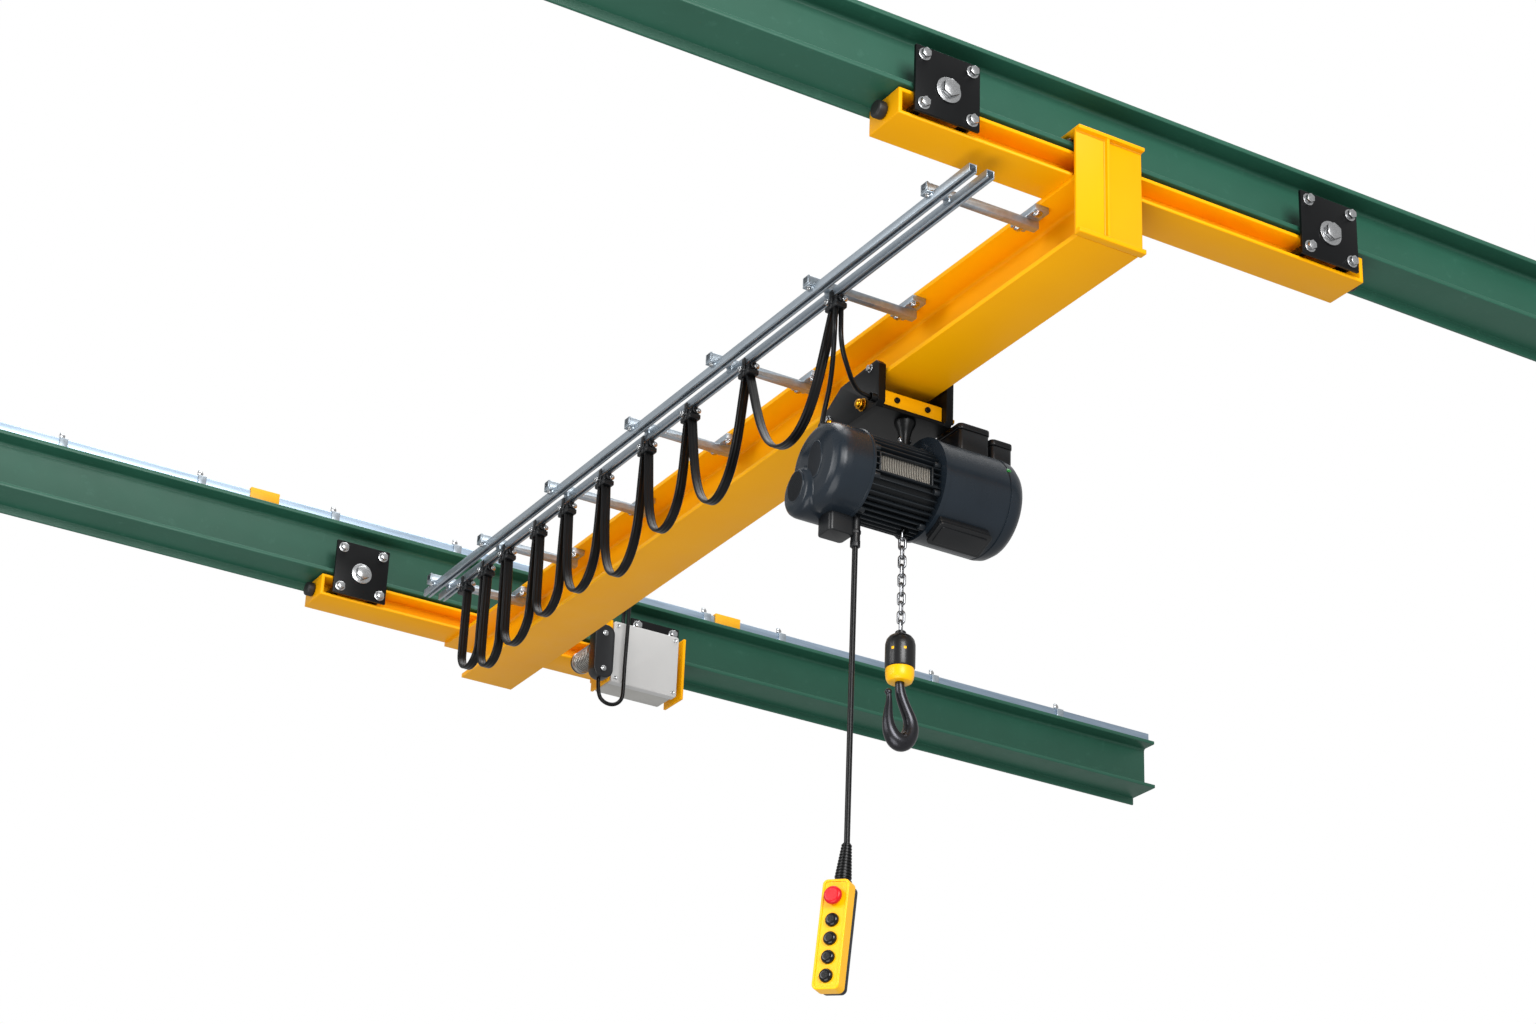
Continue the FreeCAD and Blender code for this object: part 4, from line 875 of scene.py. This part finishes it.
def makeGearEnd():
    y, z, gear = hoist["y"], hoist["z"], hoist["gearZ"]
    shell = spunAlongX([(0, -0.070), (0.130, -0.070), (0.130, -0.059), (0.1265, -0.057), (0.1265, 0.1135),
                        (0.1240, 0.1150), (0.1240, 0.1185), (0.1265, 0.1200), (0.1265, 0.130), (0.1235, 0.145),
                        (0.1130, 0.160), (0.0960, 0.169), (0.0700, 0.1735), (0.0, 0.175)], gear, 128)
    done(shell, "gearHousing", "trolley", finishes["hoistEnamel"], ["gear_housing"], smooth=32)
    lamp = joined([addDome(0.0045, 0.0025), softEdges(addRod((0, 0, -0.006), (0, 0, 0.0005), 0.0065, 24), 0.0004)])
    x, ahead, rise = gearEnd["lamp"]
    lamps = aimed(lamp, [(x, y + ahead, gear + rise)], gearEnd["lampAim"])
    drop(lamp)
    done(joined(lamps), "greenLamp", "trolley", finishes["lampGreen"])
    cases = []
    for left, right, top in gearEnd["cases"]:
        cases.append(addCase((left + 0.002, y - 0.053, gear + 0.090), (right - 0.002, y + 0.053, top - 0.017),
                             0.010, 0.002))
        lid = cornerRound(addBlock((left, y - 0.055, top - 0.016), (right, y + 0.055, top)), (0, 0, 1), 0.012)
        cases.append(softEdges(insetStep(lid, facing((0, 0, 1)), 0.006, -0.0015), 0.003, 4))
    done(joined(cases), "terminalBoxes", "trolley", finishes["boxPlastic"], ["terminal_boxes"])
    low, x = gearEnd["slantLow"], gearEnd["glandX"]
    slanted = joined([
        addCase((-0.058, -0.034, low + 0.014), (0.088, 0.034, -0.110), 0.008, 0.0015),
        addCase((-0.060, -0.036, low + 0.003), (0.090, 0.036, low + 0.012), 0.009, 0.002, 3),
        addCase((-0.050, -0.026, low), (0.080, 0.026, low + 0.006), 0.006, 0.0015),
    ])
    slanted = lay(slanted, (0, y, gear), (gearEnd["slant"], 0, 0))
    gland = joined([
        addCase((-0.318, y - 0.012, z - 0.160), (-0.250, y + 0.048, z - 0.100), 0.010, 0.003, 3),
        addRod((x, y, z - 0.172), (x, y, z - 0.105), 0.0115, 24),
        softEdges(addRod((x, y, z - 0.184), (x, y, z - 0.166), 0.0125, 6), 0.001),
        softEdges(addRod((x, y, z - 0.150), (x, y, z - 0.140), 0.0135, 6), 0.001),
    ])
    done(joined([slanted, gland]), "undersideBoxes", "trolley", finishes["boxPlastic"],
         ["underside_boxes"])
    print("gear end done")


chain = {
    "x": -0.108,
    "y": 0.745,
    "foot": -1.058,
    "top": -0.789,
    "pitch": 0.024,
    "wire": 0.0035,
    "half": 0.0072,
}


def makeChain():
    bpy.ops.object.select_all(action="DESELECT")
    bpy.ops.mesh.primitive_torus_add(major_radius=chain["half"], minor_radius=chain["wire"], major_segments=32,
                                     minor_segments=14, rotation=(math.radians(90), 0, 0))
    link = settle(bpy.context.object)
    stretch = chain["pitch"] + 2 * chain["wire"] - 2 * chain["half"]
    editFaces(link, lambda face: face.center.z > 0)
    bpy.ops.transform.translate(value=(0, 0, stretch))
    leaveEdit()
    link.data.transform(Matrix.Translation((0, 0, -stretch / 2)))
    links = []
    count = int((chain["top"] - chain["foot"]) / chain["pitch"]) + 1
    for number in range(count):
        height = chain["foot"] + 0.006 + chain["pitch"] * (number + 0.25)
        if height + 0.015 > chain["top"] + 0.004:
            break
        links.append(lay(twin(link), (chain["x"], chain["y"], height), (0, 0, 45 + 90 * (number % 2))))
    drop(link)
    done(joined(links), "chainLinks", "hook_block", finishes["chainChrome"], ["load_chain"], smooth=60)
    print("chain done")


hook = {
    "foot": -1.188,
    "slotHeight": -1.112,
    "slotTurns": (28, 76, 208, 256),
    "line": [(0, 28, 11), (0, 10, 11), (0, -6, 11), (4, -32, 13), (17, -60, 14), (31, -86, 16), (34, -108, 18.5),
             (29, -127, 20.5), (18, -143, 21.5), (3, -149, 22), (-12, -143, 20.5), (-24, -126, 17.5),
             (-30, -103, 13.5), (-30, -78, 10.5), (-28, -56, 8), (-28, -38, 6), (-30, -31, 5.5)],
    "tip": (-0.0305, -0.030, 0.0085),
}


def makeHook():
    x, y, top, foot = chain["x"], chain["y"], chain["foot"], hook["foot"]
    block = turnProfile([(0, 0), (0.011, 0), (0.013, -0.002), (0.013, -0.008), (0.019, -0.010), (0.027, -0.015),
                         (0.033, -0.023), (0.0358, -0.034), (0.036, -0.042), (0.036, -0.092), (0.0345, -0.0955),
                         (0, -0.0955)], 64)
    done(lay(block, (x, y, top)), "hookBlock", "hook_block", finishes["blockPlastic"], ["hook_block"])
    collar = turnProfile([(0.0112, -0.096), (0.0335, -0.096), (0.0342, -0.099), (0.034, -0.112), (0.0325, -0.121),
                          (0.029, -0.128), (0.0265, -0.1297), (0.0112, -0.1297), (0.0112, -0.096)], 64)
    done(lay(collar, (x, y, top)), "hookCollar", "hook_block", finishes["pendantYellow"])
    slot = softEdges(addBlock((-0.0365, -0.0035, -0.0035), (-0.034, 0.0035, 0.0035)), 0.001)
    slots = [lay(twin(slot), (x, y, hook["slotHeight"]), (0, 0, turn)) for turn in hook["slotTurns"]]
    drop(slot)
    done(joined(slots), "blockSlots", "hook_block", finishes["pendantYellow"])
    # a thickness of 2 makes each point's radius its real one
    line = splineOf("hookBar", [(x + across / 1000, y, foot + up / 1000) for across, up, _ in hook["line"]], 2.0)
    line.data.resolution_u = 14
    line.data.bevel_resolution = 12
    for point, (_, _, radius) in zip(line.data.splines[0].points, hook["line"]):
        point.radius = radius / 1000
    pickOnly(line)
    bpy.ops.object.convert(target="MESH")
    bar = bpy.context.object
    across, up, radius = hook["tip"]
    bpy.ops.object.select_all(action="DESELECT")
    bpy.ops.mesh.primitive_uv_sphere_add(radius=radius, segments=32, ring_count=20,
                                         location=(x + across, y, foot + up))
    tip = settle(bpy.context.object)
    done(joined([bar, tip]), "hookForging", "hook", finishes["forgedSteel"], ["hook"], smooth=60)
    print("hook done")


pendant = {
    "x": -0.240,
    "y": 0.745,
    "sleeveTop": -1.612,
    "sleeve": 0.095,
    "ribs": 11,
    "tilt": 4.5,
    "tiltAxis": (0.5, 0.866, 0),
    "twist": -55,
    "painted": {"pendant_shell": "pendantYellow", "pendant_back": "pendantRubber", "stop_button": "stopRed",
                "push_buttons": "buttonBlack"},
}


def makePendant():
    turn = (Matrix.Rotation(math.radians(pendant["tilt"]), 4, Vector(pendant["tiltAxis"]))
            @ Matrix.Rotation(math.radians(pendant["twist"]), 4, "Z"))
    top = Vector((pendant["x"], pendant["y"], pendant["sleeveTop"]))
    stand = Matrix.Translation(top - (turn @ Vector((0, 0, pendant["sleeve"])))) @ turn
    profile = [(0, 0.0), (0.021, 0.0), (0.021, 0.006)]
    for number in range(pendant["ribs"]):
        low = 0.010 + 0.0075 * number
        wide = 0.0205 - 0.0095 * low / pendant["sleeve"]
        profile += [(wide - 0.002, low), (wide - 0.002, low + 0.0028), (wide, low + 0.0036), (wide, low + 0.0064)]
    profile += [(0.0095, 0.0935), (0.0095, pendant["sleeve"]), (0, pendant["sleeve"])]
    sleeve = turnProfile(profile, 48)
    sleeve.matrix_world = stand
    settle(sleeve)
    done(sleeve, "pendantSleeve", "trolley", finishes["cableJacket"], ["pendant_sleeve"])
    # the handset hangs on its cable, so its CAD pieces stay and are only painted
    for node, finish in pendant["painted"].items():
        nodes[node].data.materials.clear()
        nodes[node].data.materials.append(finishes[finish])
    print("pendant done")
    return [sleeve] + [nodes[node] for node in pendant["painted"]]


drive = {
    "gearbox": ((0.162, 2.880, -0.376), (0.228, 2.920, -0.204)),
    "motor": (0.194, 2.920, -0.281),
    "gearboxBolts": [(0.195, 2.881, -0.232), (0.195, 2.881, -0.348)],
    "motorFins": 9,
    "box": ((0.240, 2.915, -0.368), (0.468, 3.025, -0.168)),
    "screwIn": 0.014,
    "lid": 0.026,
    "cableIn": (0.300, 2.975),
}


def makeDrive():
    low, high = drive["gearbox"]
    case = softEdges(cornerRound(addBlock(low, high), (0, 1, 0), 0.028, 10), 0.003, 3)
    case = insetStep(case, facing((0, -1, 0)), 0.006, -0.0015)
    done(case, "gearbox", "bridge", finishes["gearboxEnamel"], ["drive_gearbox"])
    bolt = addBolt(0.012, 0.005, 0.018, 0.002)
    bolts = aimed(bolt, drive["gearboxBolts"], (0, -1, 0))
    screw = softEdges(addRod((0, 0, 0), (0, 0, 0.003), 0.006, 24), 0.0008)
    screw = insetStep(screw, facing((0, 0, 1)), 0.003, -0.0015)
    low, high = drive["box"]
    inset = drive["screwIn"]
    corners = [(x, low[1] + 0.0005, z) for x in (low[0] + inset, high[0] - inset)
               for z in (low[2] + inset, high[2] - inset)]
    bolts += aimed(screw, corners, (0, -1, 0))
    drop(bolt, screw)
    done(joined(bolts), "driveBolts", "bridge", finishes["zincBolt"])
    profile = [(0, 0), (0.034, 0), (0.034, 0.008), (0.031, 0.010)]
    for number in range(drive["motorFins"]):
        start = 0.014 + 0.0095 * number
        profile += [(0.031, start), (0.0338, start + 0.0008), (0.0338, start + 0.0036), (0.031, start + 0.0044)]
    profile += [(0.031, 0.104), (0.034, 0.106), (0.034, 0.112), (0, 0.112)]
    casing = lay(turnProfile(profile, 56), drive["motor"], (-90, 0, 0))
    done(casing, "driveMotor", "bridge", finishes["castAluminium"], ["drive_motor"])
    cap = turnProfile([(0, 0.112), (0.033, 0.112), (0.033, 0.120), (0.030, 0.126), (0.022, 0.128), (0, 0.128)], 48)
    done(lay(cap, drive["motor"], (-90, 0, 0)), "motorCap", "bridge", finishes["boxPlastic"])
    lid = drive["lid"]
    cover = addCase(low, (high[0], low[1] + lid, high[2]), 0.008, 0.003, 3, (0, 1, 0))
    tray = addCase((low[0] + 0.003, low[1] + lid + 0.001, low[2] + 0.003), (high[0] - 0.003, high[1], high[2] - 0.003),
                   0.006, 0.002, 2, (0, 1, 0))
    x, y = drive["cableIn"]
    gland = softEdges(addRod((x, y, high[2] - 0.003), (x, y, high[2] + 0.0135), 0.009, 6), 0.001)
    done(cover, "boxCover", "bridge", finishes["coverGrey"])
    done(joined([tray, gland]), "controlBox", "bridge", finishes["boxGrey"], ["control_box"])
    softened("control_box_bracket", "boxBracket", finishes["craneEnamel"], 0.001)
    print("drive done")


studio = {
    "ambient": 0.42,
    "mirrored": 0.25,
    "lamps": {
        "keyLamp": ((-2.0, -9.0, 1.2), (0.0, 1.0, -0.4), 5.0, 1040),
        "lowLamp": ((-4.0, -1.5, -6.5), (0.0, 1.4, -0.4), 5.0, 260),
        "sideLamp": ((-8.0, 1.5, 0.6), (0.0, 1.2, -0.4), 4.0, 300),
        "skyLamp": ((0.5, 1.5, 7.0), (0.2, 1.5, 0.0), 6.0, 500),
    },
}


def makeStudio():
    scene = bpy.context.scene
    scene.view_settings.view_transform = "Standard"
    world = bpy.data.worlds.new("studio")
    world.use_nodes = True
    tree = world.node_tree
    dim = tree.nodes["Background"]
    dim.inputs["Color"].default_value = (1, 1, 1, 1)
    dim.inputs["Strength"].default_value = studio["ambient"]
    white = addNode(tree, "Background", {"Color": (1, 1, 1, 1), "Strength": 1.0})
    path = addNode(tree, "LightPath")
    shared = addNode(tree, "Math", {0: path.outputs["Is Glossy Ray"], 1: studio["mirrored"]}, operation="MULTIPLY")
    share = addNode(tree, "Math", {0: path.outputs["Is Camera Ray"], 1: shared.outputs["Value"]}, operation="MAXIMUM")
    mixed = addNode(tree, "MixShader", {0: share.outputs["Value"], 1: dim.outputs["Background"],
                                        2: white.outputs["Background"]})
    tree.links.new(mixed.outputs["Shader"], tree.nodes["World Output"].inputs["Surface"])
    scene.world = world
    for name, (place, aim, width, power) in studio["lamps"].items():
        light = bpy.data.lights.new(name, "AREA")
        light.size = width
        light.energy = power
        lamp = bpy.data.objects.new(name, light)
        scene.collection.objects.link(lamp)
        lamp.location = place
        lamp.rotation_euler = (Vector(aim) - Vector(place)).to_track_quat("-Z", "Y").to_euler()


makeCamera()
pendantPieces = makePendant()
makeLoops()
makeLeads()
makeRunways()
makeWheels()
makeBridge()
makeFestoonRails()
makeCarriers()
makeTrolley()
makeFanCover()
makeMotor()
makeGearEnd()
makeChain()
makeHook()
makeDrive()
makeStudio()
